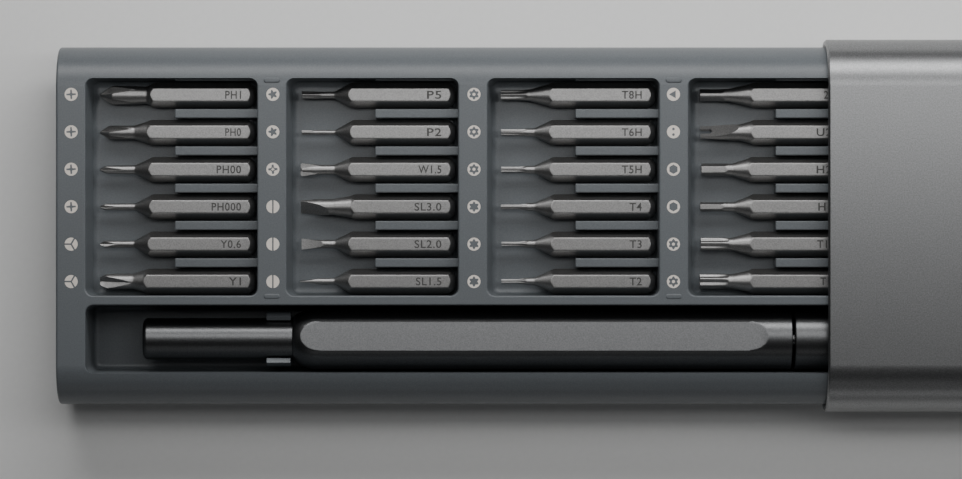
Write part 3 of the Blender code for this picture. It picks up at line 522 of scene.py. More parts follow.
def end_mesh(settings):
    """The end plate with its rounded rim, and the hollow spigot that fits inside the sleeve."""
    back = CAP_HIGH.x
    plate = back - 2.0 * MM
    spigot_end = CAP_LOW.x
    spigot = SLEEVE_WALL + GAP
    spigot_wall = 1.2 * MM
    rim = settings.end_round
    bend = np.radians([90, 75, 60, 45, 30, 15, 0])
    rows = [(back - rim * (1 - math.sin(a)), rim * (1 - math.cos(a))) for a in bend]
    rows += [
        (plate + 0.1 * MM, 0),
        (plate, 0.1 * MM),
        (plate, spigot),
        (spigot_end + 0.3 * MM, spigot),
        (spigot_end, spigot + 0.3 * MM),
        (spigot_end, spigot + spigot_wall),
        (plate, spigot + spigot_wall),
    ]
    x, inset = np.array(rows).T
    mesh = skin("sleeve_end", stadium_rings(x, inset, SLEEVE_WIDTH, SLEEVE_HEIGHT, 56))
    bosses, holes = [], []
    for side in (-1, 1):
        axis = (0, side * 11.0 * MM, MIDDLE)
        boss = lathe_rings([(plate - 1.3 * MM, 2.4 * MM), (plate + 0.5 * MM, 2.4 * MM)], 48)
        hole = lathe_rings([(plate - 3 * MM, HOLE_RADIUS), (plate + MM, HOLE_RADIUS)], 32)
        bosses.append(skin("boss", placed(boss, HANDLE_TURN, axis)))
        holes.append(skin("hole", placed(hole, HANDLE_TURN, axis)))
    mesh = carve(mesh, joined("bosses", bosses), "UNION")
    return tidy(carve(mesh, joined("holes", holes)))


# ---------------------------------------------------------------- the tray


class KIT_OT_tray(Operator):
    """Build the tray with its pockets, ribs and trough, and the plate under it"""

    bl_idname = "kit.tray"
    bl_label = "Tray"

    def execute(self, context):
        settings = context.scene.kit_tray
        plastic = chosen_finish("matt_moulding", settings)
        show("tray", tray_mesh(settings), plastic, "tray", ["tray_frame"])
        show("tray_floor", plate_mesh(), black_moulding(), "tray", ["tray_base_plate"])
        for index, (low, high) in enumerate(SCREW_BOXES, 1):
            screw, node = screw_mesh(low, high), f"base_screw_{index}"
            show(f"tray_screw_{index}", screw, turned_steel(), "tray", [node])
        return {"FINISHED"}


def row_y(row):
    """The middle of a row of bits, the top row first."""
    return ROWS_CENTRE + ROW_PITCH * ((ROWS - 1) / 2 - row)


def tray_mesh(settings):
    """The stadium body with rounded ends, the pockets and the trough sunk into it, ribs and pills added."""
    rim = settings.end_round
    bend = np.radians([90, 72, 54, 36, 18, 0])
    inset = rim * (1 - np.cos(bend))
    step = rim * (1 - np.sin(bend))
    x = np.concatenate([TRAY_LEFT + step, (TRAY_RIGHT - step)[::-1]])
    inset = np.concatenate([inset, inset[::-1]])
    mesh = skin("tray", stadium_rings(x, inset, TRAY_WIDTH, TRAY_HEIGHT, 48))

    sunk, ribs, hollows = [], [], []
    for column in range(POCKETS):
        left = TRAY_LEFT + POCKET_FIRST + column * POCKET_PITCH
        right = left + POCKET_LENGTH
        corners = (left, POCKET_LOW, right, POCKET_HIGH)
        shape = (POCKET_LEANS, POCKET_DEPTH, POCKET_CORNER, settings.edge, settings.foot)
        sunk.append(basin("pocket", corners, *shape))
        for row in range(ROWS):
            middle = row_y(row) + ROW_PITCH / 2
            high = POCKET_HIGH + MM if row == 0 else middle + RIB_HALF
            place = (left + RIB_START, middle - RIB_HALF, right + 0.8 * MM, high)
            ribs.append(block("rib", place, POCKET_FLOOR - 0.5 * MM, RIB_TOP, 0.2 * MM, 0.2 * MM))
        wall = 1.2 * MM
        hollow = (left + wall, POCKET_LOW + wall, right - wall, POCKET_HIGH - 2 * wall)
        hollows.append(block("hollow", hollow, TRAY_BOTTOM + MM, POCKET_FLOOR - 1.3 * MM, 0.3 * MM))
    leans = (0.3 * MM,) * 4
    sunk.append(basin("trough", TROUGH, leans, TROUGH_DEPTH, POCKET_CORNER, settings.edge, 1.0 * MM))
    mesh = carve(mesh, joined("sunk", sunk))
    mesh = carve(mesh, joined("ribs", ribs), "UNION")

    pills = []
    for divider in (1, 3):
        x = TRAY_LEFT + POCKET_FIRST + divider * POCKET_PITCH - (POCKET_PITCH - POCKET_LENGTH) / 2
        for y in (26.1 * MM, POCKET_LOW - 0.1 * MM):
            place = (x - 1.45 * MM, y - 0.45 * MM, x + 1.45 * MM, y + 0.45 * MM)
            pills.append(pill_mesh(place))
    mesh = carve(mesh, joined("pills", pills), "UNION")

    recess = (PLATE_LOW.x - GAP, PLATE_LOW.y - GAP, PLATE_HIGH.x + GAP, PLATE_HIGH.y + GAP)
    mesh = carve(mesh, block("recess", recess, TRAY_BOTTOM - MM, PLATE_HIGH.z + GAP, 3 * MM))
    mesh = carve(mesh, joined("hollows", hollows))
    notch = (TRAY_RIGHT - 6.4 * MM, -3.6 * MM, TRAY_RIGHT + MM, 3.6 * MM)
    half, edge = 3.6 * MM, 0.5 * MM
    mesh = carve(mesh, block("notch", notch, MIDDLE - half, MIDDLE + half, edge, edge, edge))
    holes = []
    for low, high in SCREW_BOXES:
        rows = [(PLATE_HIGH.z, HOLE_RADIUS), (high.z + GAP, HOLE_RADIUS)]
        holes.append(upright_turning("hole", rows, low, high, 32))
    low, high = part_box("tray_striker")
    rows = [(low.z - GAP, HOLE_RADIUS), (high.z + GAP, HOLE_RADIUS)]
    holes.append(upright_turning("hole", rows, low, high, 32))
    return tidy(carve(mesh, joined("holes", holes)))


def upright_turning(name, rows, low, high, columns):
    """A turned form of (height, radius) rows, upright in the middle of the box from low to high."""
    centre = (low + high) / 2
    return skin(name, placed(lathe_rings(rows, columns), UPRIGHT, (centre.x, centre.y, 0)))


def pill_mesh(corners):
    """A low pill: its rim rises from inside the tray's top on a curve that flattens out above it."""
    rise = 0.12 * MM
    share_up = np.array([0.0, 0.45, 0.75, 0.93, 1.0])
    inset = np.array([0.0, 0.03, 0.09, 0.17, 0.26]) * MM
    levels = [(TRAY_TOP - 0.3 * MM, 0, 0, 0, 0, 0.449 * MM)]
    for up, i in zip(share_up, inset):
        levels.append((TRAY_TOP - 0.01 * MM + (rise + 0.01 * MM) * up, i, i, i, i, 0.449 * MM - i))
    return skin("pill", terrace(corners, levels, 10))


def plate_mesh():
    """The plate under the tray, its lower rim rounded, with a counterbored hole for each screw."""
    corners = (PLATE_LOW.x, PLATE_LOW.y, PLATE_HIGH.x, PLATE_HIGH.y)
    mesh = block("tray_floor", corners, PLATE_LOW.z, PLATE_HIGH.z, 2.7 * MM, 0.1 * MM, 0.25 * MM)
    step = TRAY_BOTTOM + 0.7 * MM
    sunk = 1.9 * MM
    rows = [(0, sunk), (step, sunk), (step, HOLE_RADIUS), (PLATE_HIGH.z + MM, HOLE_RADIUS)]
    holes = [upright_turning("hole", rows, low, high, 48) for low, high in SCREW_BOXES]
    return tidy(carve(mesh, joined("holes", holes)))


def screw_mesh(low, high):
    """A small flat-headed screw, head down, with a cross recess and a threaded shank.

    The shank's radius swings with height as a sine, one wave for each turn of the thread.
    """
    head = low.z + 0.35 * MM
    radius, shank = 1.6 * MM, 0.8 * MM
    z = np.linspace(head + 0.3 * MM, high.z - 0.4 * MM, 90)
    thread = shank - 0.06 * MM * (1 - np.cos(2 * np.pi * (z - head) / (0.4 * MM)))
    rows = [(low.z, 0), (low.z, radius - 0.15 * MM), (low.z + 0.1 * MM, radius - 0.03 * MM)]
    rows += [(low.z + 0.16 * MM, radius), (head, radius), (head, shank)]
    rows += list(zip(z, thread)) + [(high.z, shank * 0.6), (high.z, 0)]
    mesh = upright_turning("screw", rows, low, high, 40)
    x, y = ((low + high) / 2).xy
    arm, half = 0.85 * MM, 0.16 * MM
    for reach_x, reach_y in ((arm, half), (half, arm)):
        corners = (x - reach_x, y - reach_y, x + reach_x, y + reach_y)
        slot = block("slot", corners, low.z - 0.2 * MM, low.z + 0.25 * MM, 0.05 * MM)
        mesh = carve(mesh, slot)
    return tidy(mesh)


# ---------------------------------------------------------------- printed drive symbols


class KIT_OT_symbols(Operator):
    """Print the drive symbols beside the bits"""

    bl_idname = "kit.symbols"
    bl_label = "Drive symbols"

    def execute(self, context):
        settings = context.scene.kit_tray
        outlines = []
        for column, kinds in enumerate(SYMBOLS):
            x = TRAY_LEFT + SYMBOL_X[column]
            for row, kind in enumerate(kinds):
                outlines += [line + np.array([x, row_y(row)]) for line in symbol(kind)]
        mesh = flat_mesh("drive_symbols", outlines, TRAY_TOP - 0.03 * MM, TRAY_TOP + 0.012 * MM)
        ink = finish("printed_ink", settings.symbol, 0.55)
        show("drive_symbols", mesh, ink, "tray")
        return {"FINISHED"}


SYMBOL_X = (2.8 * MM, 39.0 * MM, 75.1 * MM, 110.9 * MM)
SYMBOL_RADIUS = 1.17 * MM
SYMBOLS = (
    ("cross", "cross", "cross", "cross", "three", "three"),
    ("star5", "star5", "open_cross", "slot", "slot", "slot"),
    ("star6_pin", "star6_pin", "star6_pin", "star6", "star6", "star6"),
    ("triangle", "dots", "hexagon", "hexagon", "star6_pin", "star6_pin"),
)


def circle_line(radius, count=48, x=0.0, y=0.0):
    """Points round a circle."""
    return polar(radius, np.linspace(0, 2 * np.pi, count, endpoint=False)) + [x, y]


def star_line(points, outer, inner, turn=0.0, soft=0.0):
    """A star whose radius runs between its tips and its valleys; soft rounds it towards a sine."""
    count = points * 12
    angle = np.linspace(0, 2 * np.pi, count, endpoint=False)
    saw = np.abs(((angle * points / (2 * np.pi)) % 1.0) * 2 - 1)
    wave = (1 + np.cos(points * angle)) / 2
    mix = (1 - soft) * saw + soft * wave
    radius = inner + (outer - inner) * mix
    return polar(radius, angle + turn)


def polygon_line(sides, radius, turn=0.0):
    """A regular polygon."""
    return polar(radius, turn + 2 * np.pi * np.arange(sides) / sides)


def cross_line(arm, half):
    """An upright cross with eased ends."""
    ease = half * 0.45
    quarter = np.array([(arm, -half + ease), (arm, half - ease), (arm - ease, half), (half + ease, half)])
    lines = []
    for turn in np.arange(4) * np.pi / 2:
        c, s = math.cos(turn), math.sin(turn)
        lines.append(quarter @ np.array([[c, s], [-s, c]]))
        corner = np.array([(half, half + ease)])
        lines.append(corner @ np.array([[c, s], [-s, c]]))
    return np.concatenate(lines)


def sector_lines(count, first, gap):
    """A disc parted by straight slots from its middle: each sector's arc and its inner corner."""
    trim = math.asin(gap / 2 / SYMBOL_RADIUS)
    wide = 2 * np.pi / count
    lines = []
    for start in first + np.arange(count) * wide:
        rim = polar(SYMBOL_RADIUS, np.linspace(start + trim, start + wide - trim, 24))
        inner = gap / 2 / math.sin(wide / 2)
        lines.append(np.vstack([rim, polar(inner, start + wide / 2)]))
    return lines


def symbol(kind):
    """The outlines of a drive symbol: a disc, and in it the drive's own section."""
    disc = circle_line(SYMBOL_RADIUS)
    if kind == "three":
        return sector_lines(3, np.pi / 3, 0.29 * MM)
    if kind == "slot":
        return sector_lines(2, np.pi / 2, 0.27 * MM)
    holes = {
        "cross": [cross_line(0.86 * MM, 0.18 * MM)],
        "open_cross": [cross_line(0.84 * MM, 0.23 * MM), star_line(4, 0.34 * MM, 0.12 * MM)],
        "star5": [star_line(5, 0.86 * MM, 0.42 * MM, np.pi, 0.35)],
        "star6": [star_line(6, 0.94 * MM, 0.58 * MM, np.pi / 2, 0.35)],
        "star6_pin": [star_line(6, 0.95 * MM, 0.62 * MM, np.pi / 2, 0.35), circle_line(0.28 * MM, 20)],
        "triangle": [polygon_line(3, 0.82 * MM, np.pi)],
        "hexagon": [polygon_line(6, 0.84 * MM, np.pi / 6)],
        "dots": [circle_line(0.24 * MM, 20, 0, 0.5 * MM), circle_line(0.24 * MM, 20, 0, -0.5 * MM)],
    }
    return [disc, *holes[kind]]


def flat_mesh(name, outlines, low, high):
    """A thin solid between two heights of flat outlines, where an outline within another is a hole."""
    curve = bpy.data.curves.new(name, "CURVE")
    curve.dimensions = "2D"
    curve.fill_mode = "BOTH"
    curve.extrude = (high - low) / 2
    for outline in outlines:
        spline = curve.splines.new("POLY")
        spline.points.add(len(outline) - 1)
        flat = np.zeros((len(outline), 4))
        flat[:, :2] = outline
        flat[:, 3] = 1
        spline.points.foreach_set("co", flat.ravel())
        spline.use_cyclic_u = True
    return solid_from(curve, (0, 0, (low + high) / 2))


def solid_from(curve, place=(0, 0, 0)):
    """A curve or text as a closed mesh, moved to its place."""
    thing = bpy.data.objects.new(curve.name, curve)
    bpy.context.scene.collection.objects.link(thing)
    graph = bpy.context.evaluated_depsgraph_get()
    mesh = bpy.data.meshes.new_from_object(thing.evaluated_get(graph))
    mesh.name = curve.name
    bpy.data.objects.remove(thing)
    mesh.vertices.foreach_set("co", (vertex_places(mesh) + place).ravel())
    return tidy(mesh)


def vertex_places(mesh):
    """A mesh's vertices as an array of points."""
    points = np.zeros(len(mesh.vertices) * 3)
    mesh.vertices.foreach_get("co", points)
    return points.reshape(-1, 3)


# ---------------------------------------------------------------- the handle and its clip


class KIT_OT_handle(Operator):
    """Build the grip, its end cap and the clip that holds its nose"""

    bl_idname = "kit.handle"
    bl_label = "Handle"

    def execute(self, context):
        settings = context.scene.kit_handle
        metal = chosen_finish("anodised_grip", settings)
        plastic = chosen_finish("matt_moulding", context.scene.kit_tray)
        grip = grip_mesh(settings)
        show("grip", grip, metal, "handle", ["grip_body"], 28)
        show("grip_cap", end_cap_mesh(), metal, "cap", ["end_cap"])
        show("nose_clip", clip_mesh(), plastic, "tray", ["handle_clip"])
        return {"FINISHED"}


FLATS = 3
FLAT_ROLL = math.radians(7)
FLAT_DISTANCE = 4.86 * MM
FLAT_END = 124.6 * MM
FLAT_RUN_OUT = 3.4 * MM
NOSE_FRONT = 15.3 * MM
NOSE_END = 42.3 * MM
GRIP_END = 132.45 * MM


def grip_mesh(settings):
    """The grip: a turned form kept inside three flats.

    Its radius at each place along the axis and each angle is the smaller of the turned profile's
    radius and the flat's distance over the cosine of the angle from the flat's middle. The flats'
    distance grows on an arc at their rear end, where the mill ran out.
    """
    corner = settings.corner
    shoulder = 4.2 * MM
    bend = np.radians(np.linspace(0, 90, 9))
    nose_x = NOSE_FRONT + corner * (1 - np.sin(bend))[::-1]
    nose_r = NOSE_RADIUS - corner * (1 - np.cos(bend))[::-1]
    along = np.linspace(0, 1, 40) ** 1.6
    dome_x = NOSE_END + shoulder * along
    dome_r = NOSE_RADIUS + (GRIP_RADIUS - NOSE_RADIUS) * (1 - (1 - along) ** 1.5) ** (2 / 3)
    run_x = np.linspace(FLAT_END - 1.0 * MM, FLAT_END + FLAT_RUN_OUT + 0.4 * MM, 44)
    long_x = np.linspace(NOSE_END + shoulder + MM, FLAT_END - 4 * MM, 12)
    edge = 0.25 * MM
    rear_x = GRIP_END - edge * np.array([1.0, 0.6, 0.2, 0.0])
    rear_r = GRIP_RADIUS - edge * np.array([0.0, 0.1, 0.5, 1.0])
    ease = 0.15 * MM
    bore = 3.1 * MM
    socket_foot = NOSE_FRONT + 18 * MM
    front_x = [socket_foot, socket_foot, NOSE_FRONT + ease, NOSE_FRONT]
    front_r = [0, bore, bore, bore + ease]
    axle_foot = GRIP_END - 9 * MM
    axle = 1.8 * MM
    back_x = [GRIP_END, axle_foot, axle_foot]
    back_r = [axle, axle, 0]
    middle_x = np.concatenate([long_x, run_x])
    x = np.concatenate([front_x, nose_x, dome_x, middle_x, rear_x, back_x])
    r = np.concatenate([front_r, nose_r, dome_r, np.full(len(middle_x), GRIP_RADIUS), rear_r, back_r])

    half = math.acos(FLAT_DISTANCE / GRIP_RADIUS)
    third = 2 * np.pi / FLATS
    sector = np.concatenate(
        [
            np.linspace(-third / 2, -half, 19)[:-1],
            np.linspace(-half, half, 35)[:-1],
            np.linspace(half, third / 2, 19)[:-1],
        ]
    )
    columns = np.tile(sector, FLATS)
    turn = columns + np.repeat(np.arange(FLATS) * third, len(sector)) + FLAT_ROLL
    depth = GRIP_RADIUS - FLAT_DISTANCE
    mill = (FLAT_RUN_OUT**2 + depth**2) / (2 * depth)
    past = np.clip(x - FLAT_END, 0, FLAT_RUN_OUT * 1.2)[:, None]
    distance = FLAT_DISTANCE + mill - np.sqrt(mill**2 - past**2)
    radius = np.minimum(r[:, None], distance / np.cos(columns))
    points = polar(radius, turn, x[:, None])
    # local X is up here, local Y is world Y and local Z is world X
    upright = np.array([[0, 0, 1], [0, 1, 0], [1, 0, 0]], float)
    return skin("grip", placed(points, upright, (TRAY_LEFT, AXIS_Y, AXIS_Z)))


def end_cap_mesh():
    """The cap: a cup turned about the handle's axis, its outer edges rounded."""
    start, end = 132.9 * MM, 143.7 * MM
    wall, face = 1.0 * MM, 1.5 * MM
    profile = [
        (end, 0),
        (end, GRIP_RADIUS - 0.55 * MM),
        (end - 0.25 * MM, GRIP_RADIUS - 0.1 * MM),
        (end - 0.6 * MM, GRIP_RADIUS),
        (start + 0.22 * MM, GRIP_RADIUS),
        (start, GRIP_RADIUS - 0.22 * MM),
        (start, GRIP_RADIUS - wall),
        (end - face, GRIP_RADIUS - wall),
        (end - face, 0),
    ]
    rows = rounded_profile(profile, 0.18 * MM)
    return skin("grip_cap", placed(lathe_rings(rows, 128), HANDLE_TURN, (TRAY_LEFT, AXIS_Y, AXIS_Z)))


def clip_mesh():
    """The clip: an open ring of constant wall carried along X, on a small foot.

    Each end ring is the section drawn in along its own normals, which rounds the clip's edges.
    """
    low, high = 37.6 * MM, 42.0 * MM
    inner = NOSE_RADIUS + GAP
    wall = 0.95 * MM
    mouth = 3.3 * MM
    lip = math.atan2(math.sqrt(inner**2 - mouth**2), -mouth) + math.radians(3)
    sweep = np.linspace(lip, 3 * np.pi - lip, 60)
    section = np.vstack([polar(inner + wall, sweep), polar(inner, sweep[::-1])])
    step = np.roll(section, -1, axis=0) - np.roll(section, 1, axis=0)
    normal = np.stack([step[:, 1], -step[:, 0]], axis=-1)
    normal /= np.linalg.norm(normal, axis=1, keepdims=True)
    edge = 0.15 * MM
    bend = np.radians([90, 60, 30, 0])
    draw = np.concatenate([edge * (1 - np.cos(bend)), edge * (1 - np.cos(bend[::-1]))])
    x = np.concatenate([low + edge * (1 - np.sin(bend)), high - edge * (1 - np.sin(bend[::-1]))])
    y = section[:, 0] - draw[:, None] * normal[:, 0]
    z = section[:, 1] - draw[:, None] * normal[:, 1]
    points = np.stack([x[:, None] + 0 * y, y, z], axis=-1) + np.array([TRAY_LEFT, AXIS_Y, AXIS_Z])
    mesh = skin("nose_clip", points)
    floor = TRAY_TOP - TROUGH_DEPTH + GAP
    foot = (TRAY_LEFT + low, AXIS_Y - 3 * MM, TRAY_LEFT + high, AXIS_Y + 3 * MM)
    top = AXIS_Z - inner - 0.3 * wall
    return tidy(carve(mesh, block("foot", foot, floor, top, 0.3 * MM, 0.1 * MM, 0.1 * MM), "UNION"))


# ---------------------------------------------------------------- the bits


class KIT_OT_bits(Operator):
    """Build the 24 bits"""

    bl_idname = "kit.bits"
    bl_label = "Bits"

    def execute(self, context):
        settings = context.scene.kit_bits
        steel = chosen_finish("blasted_steel", settings)
        for column, specs in enumerate(BITS):
            rear = TRAY_LEFT + BIT_START + column * POCKET_PITCH + BIT_LENGTH
            for row, spec in enumerate(specs):
                name = spec[0]
                mesh = bit_mesh(spec, settings, (rear, row_y(row), BIT_AXIS_Z))
                show(f"steel_{name}", mesh, steel, f"{name}_bit", [f"bit_{name}"], 27)
        return {"FINISHED"}


# name, kind of tip, width across the tip, shank diameter, where the flutes run out, where the cone
# starts and where it meets the flats, all in mm from the tip, the tip's roll in degrees, drilled
BITS = (
    (
        ("ph1", "cross", 3.4, 3.1, 6.4, 8.5, 9.2, -11, False),
        ("ph0", "cross", 2.5, 2.5, 5.8, 6.2, 8.6, -16, False),
        ("ph00", "cross", 1.6, 1.6, 4.3, 6.3, 8.9, 45, False),
        ("ph000", "cross", 1.25, 1.25, 3.1, 6.3, 9.0, 40, False),
        ("y06", "triwing", 1.25, 1.25, 3.0, 6.2, 8.7, 60, False),
        ("y1", "triwing", 2.9, 2.8, 5.8, 6.0, 8.0, 50, False),
    ),
    (
        ("p5", "pentalobe", 1.4, 1.25, 3.8, 6.2, 8.8, 10, False),
        ("p2", "pentalobe", 0.8, 0.85, 2.4, 6.3, 9.1, 0, False),
        ("w15", "cross", 2.35, 1.8, 3.6, 6.2, 8.8, 0, False),
        ("sl30", "blade", 2.9, 2.9, 5.4, 6.0, 9.3, -42, False),
        ("sl20", "blade", 2.05, 1.55, 4.4, 6.3, 8.8, 0, False),
        ("sl15", "blade", 1.45, 1.2, 3.8, 6.2, 8.8, 82, False),
    ),
    (
        ("t8h", "star", 1.95, 2.1, 4.9, 5.4, 8.9, 8, True),
        ("t6h", "star", 1.3, 1.5, 4.8, 6.2, 8.9, 4, True),
        ("t5h", "star", 1.15, 1.4, 4.7, 6.2, 9.0, 12, True),
        ("t4", "star", 0.95, 1.45, 4.9, 6.2, 9.2, 0, False),
        ("t3", "star", 0.9, 1.4, 4.9, 6.2, 9.2, 10, False),
        ("t2", "star", 0.8, 1.35, 4.8, 6.2, 9.2, 20, False),
    ),
    (
        ("tri23", "triangle", 2.3, 2.3, 4.8, 5.2, 9.1, 60, False),
        ("u26", "fork", 2.7, 2.9, 7.1, 7.2, 9.2, 44, False),
        ("h20", "hexagon", 2.0, 2.2, 5.6, 5.9, 8.7, 0, False),
        ("h15", "hexagon", 1.5, 1.7, 5.0, 6.2, 9.0, 0, False),
        ("t10h", "star", 2.5, 2.3, 5.3, 5.8, 9.0, 10, True),
        ("t15h", "star", 2.75, 2.6, 5.2, 5.8, 9.0, 22, True),
    ),
)
# how much each bit falls short of its nominal length, in mm
SHORT = {
    "p5": 0.35, "p2": 0.35, "w15": 0.15, "sl30": 0.15, "sl20": 0.3, "t8h": 0.2, "t6h": 0.25,
    "t5h": 0.25, "t4": 0.2, "t3": 0.3, "t2": 0.3, "u26": 0.1, "h20": 0.3, "h15": 0.1, "t10h": 0.2,
}
# where a bit's rear end is, in mm from its tip
REAR = 28.0
COLUMNS = 96
LOBES = {"star": 6, "pentalobe": 5}
WINGS = {"cross": 4, "triwing": 3}
SIDES = {"hexagon": 6, "triangle": 3}
# angles of the grid's lines from one flat's middle to the next, closest at the corner between them
HEX_LINES = np.radians([0, 6, 14, 20, 24, 26.2, 27.8, 29, 30, 31, 32.2, 33.8, 36, 40, 46, 54])


def soft_least(first, second, power=70.0):
    """The smaller of two radii, with the crease between them rounded: an inverse power sum."""
    return (first**-power + second**-power) ** (-1 / power)


def planes_radius(angle, sides, distance, power=44.0):
    """The radius of a prism by angle: the nearest of its side planes, its edges a little rounded."""
    turns = 2 * np.pi * np.arange(sides) / sides
    facing = np.maximum(np.cos(angle[..., None] - turns), 1e-3)
    return distance * np.sum(facing**power, axis=-1) ** (-1 / power)


def envelope(s, spec):
    """The turned radius at each distance from the tip, in mm: tip, shank, cone and body, with the
    junctions rounded by averaging over a short length."""
    _, kind, width, shank, flute, cone, flat, _, _ = spec
    r = shank / 2
    tip = width / 2 / math.cos(math.pi / 6) if kind == "hexagon" else width / 2
    if kind in WINGS:
        point = 0.16 * tip if width > 2.4 else 0.25 * tip
        reach = 0.66 * width
        if spec[0] == "w15":
            point, reach = 0.8 * tip, 0.4
        if spec[0] == "y1":
            point, reach = 0.55 * tip, 1.2
        places = [(0, point), (reach, tip), (flute, max(r, tip * 0.97) if r >= tip * 0.9 else r)]
    else:
        places = [(0, tip), (flute * 0.72, tip), (flute, r)]
    places += [(max(cone, flute + 0.05), r), (flat, 2.0), (flat + 0.66, 2.33), (40, 2.6)]
    at, radius = np.array(places).T
    offsets = np.linspace(-0.2, 0.2, 9)
    spread_out = np.mean([np.interp(s + o, at, radius) for o in offsets], axis=0)
    sharp = np.interp(s, at, radius)
    return np.where(s < 0.8, sharp, spread_out)


def tip_lines(kind, wing_edge):
    """The angles of the grid's lines round a tip.

    Wings have lines on their edges, whose half angle is given for each ring; others are even.
    """
    even = np.linspace(0, 2 * np.pi, COLUMNS, endpoint=False)
    if kind not in WINGS:
        return np.broadcast_to(even, (len(wing_edge), COLUMNS))
    count = WINGS[kind]
    half_sector = np.pi / count
    lines = COLUMNS // count // 2
    on_wing = lines // 3
    t = np.arange(lines) / on_wing
    u = (np.arange(lines) - on_wing) / (lines - on_wing)
    edge = wing_edge[:, None]
    half = np.where(t < 1, edge * t, edge + (half_sector - edge) * u)
    mirrored = 2 * half_sector - np.concatenate([np.full_like(edge, half_sector), half[:, :0:-1]], axis=1)
    sector = np.concatenate([half, mirrored], axis=1)
    return np.concatenate([sector + 2 * half_sector * k for k in range(count)], axis=1)


def bit_rings(spec, end_round):
    """A bit's surface in mm, its axis on local Z with the tip up, as rings from the tip to the rear.

    The radius at each distance from the tip and each angle is the least of the turned envelope, the
    hexagon's planes, and the tip's own section, whose flutes or flats run out along the shank.
    """
    name, kind, width, shank, flute, _, flat, roll, drilled = spec
    roll = math.radians(roll)
    end = end_round / MM
    short = SHORT.get(name, 0.0)
    s = np.concatenate(
        [
            [0.0, 0.05],
            np.arange(0.14, 7.6, 0.13),
            np.arange(7.6, 10.6, 0.085),
            [11.5, 14, 18, 22, 25.6],
            REAR - 2.2 * end * np.cos(np.linspace(0.15, np.pi / 2, 26)),
        ]
    )
    s = np.maximum(s, short)
    body = envelope(s, spec)
    gone = np.clip(s / flute, 0, 1)[:, None]
    edge = np.full(len(s), 0.1)
    if kind in WINGS:
        sector = np.pi / WINGS[kind]
        start = 0.075 * width
        half_wing = start + (math.sin(sector) * body - start) * gone[:, 0] ** 1.25
        edge = np.arcsin(np.clip(half_wing / body, 0.05, math.sin(sector * 0.86)))
    tip_angle = tip_lines(kind, edge)
    hexed = np.concatenate([HEX_LINES + k * np.pi / 3 for k in range(6)])
    pull = np.clip((s - 6.3) / (flat - 0.5 - 6.3), 0, 1)[:, None]
    pull = pull * pull * (3 - 2 * pull)
    angle = (tip_angle + roll) * (1 - pull) + hexed * pull
    outer = body[:, None] + 0 * angle
    turned_by = angle - roll
    if kind in WINGS:
        off = (turned_by + sector) % (2 * sector) - sector
        wing = half_wing[:, None] / np.maximum(np.abs(np.sin(off)), 1e-3)
        outer = np.where(gone < 1, np.minimum(outer, np.maximum(wing, 0.02)), outer)
    elif kind in LOBES:
        wave = (1 - np.cos(LOBES[kind] * turned_by)) / 2
        deep = 0.25 * np.sqrt(np.clip(1 - gone**4, 0, 1))
        outer = outer * (1 - deep * wave**0.9)
    elif kind in SIDES:
        rise = np.clip((s - flute + 1.2) / 1.2, 0, None)[:, None] ** 2
        share_of = 0.5 if kind == "hexagon" else 0.36
        distance = share_of * width + rise * 0.5
        outer = soft_least(outer, planes_radius(turned_by, SIDES[kind], 1.0, 60) * distance)
    elif kind in ("blade", "fork"):
        flare = (width - shank) / 2 * np.clip(1 - gone * 1.25, 0, 1) ** 1.5
        narrow = shank / 2 + flare * np.sin(turned_by) ** 2
        outer = np.where(gone < 1, np.maximum(narrow, 0.05), outer)
    radius = soft_least(outer, planes_radius(angle, 6, 2.0), 260)
    from_end = np.array([0.0, 0.04, 0.25, 0.55, 1.0, 1.5, 2.0]) * end
    rear = np.interp(REAR - s, from_end, [0.9, 1.1, 1.5, 1.78, 2.1, 2.45, 2.8])
    radius = soft_least(radius, rear[:, None] + 0 * radius, 260)
    rings = polar(radius, angle, REAR - s[:, None])
    face = rings[0] * [0.93, 0.93, 1.0]
    lead = [face * [0.0, 0.0, 1.0]]
    if drilled:
        hole = 0.17 * width
        wall = [polar(hole, angle[0], z) for z in (REAR - 1.2, REAR - short)]
        lead = [wall[0] * [0.0, 0.0, 1.0], *wall]
    tail = rings[-1] * [0.0, 0.0, 1.0]
    return np.concatenate([np.array(lead), face[None], rings[1:], tail[None]])


def bit_mesh(spec, settings, place):
    """A bit in its slot, its ground faces and slot cut where it has them."""
    name, kind = spec[:2]
    mesh = skin(f"steel_{name}", placed(bit_rings(spec, settings.end_round) * MM, BIT_TURN, place))
    if kind in ("blade", "fork"):
        mesh = carve(mesh, joined("grinding", [ground_face(spec, side, place) for side in (0, 1)]))
        if kind == "fork":
            mesh = carve(mesh, fork_slot(spec, place))
        mesh = tidy(mesh)
    return mesh


def tip_cutter(name, line, reach, along, roll, place):
    """A cutter for a tip: an outline of (sideways, height) points carried from side to side.

    Along is the axis, 0 or 1, that the outline's sideways direction lies on; the whole is turned
    about the bit's axis by its roll.
    """
    across = np.array([-reach, reach])[:, None]
    sideways, height = line[None, :, 0] + 0 * across, line[None, :, 1] + 0 * across
    ends = across + 0 * sideways
    pair = (sideways, ends) if along == 0 else (ends, sideways)
    c, sn = math.cos(roll), math.sin(roll)
    points = np.stack([*pair, height], axis=-1) @ np.array([[c, -sn, 0], [sn, c, 0], [0, 0, 1]]).T
    return skin(name, placed(points * MM, BIT_TURN, place))


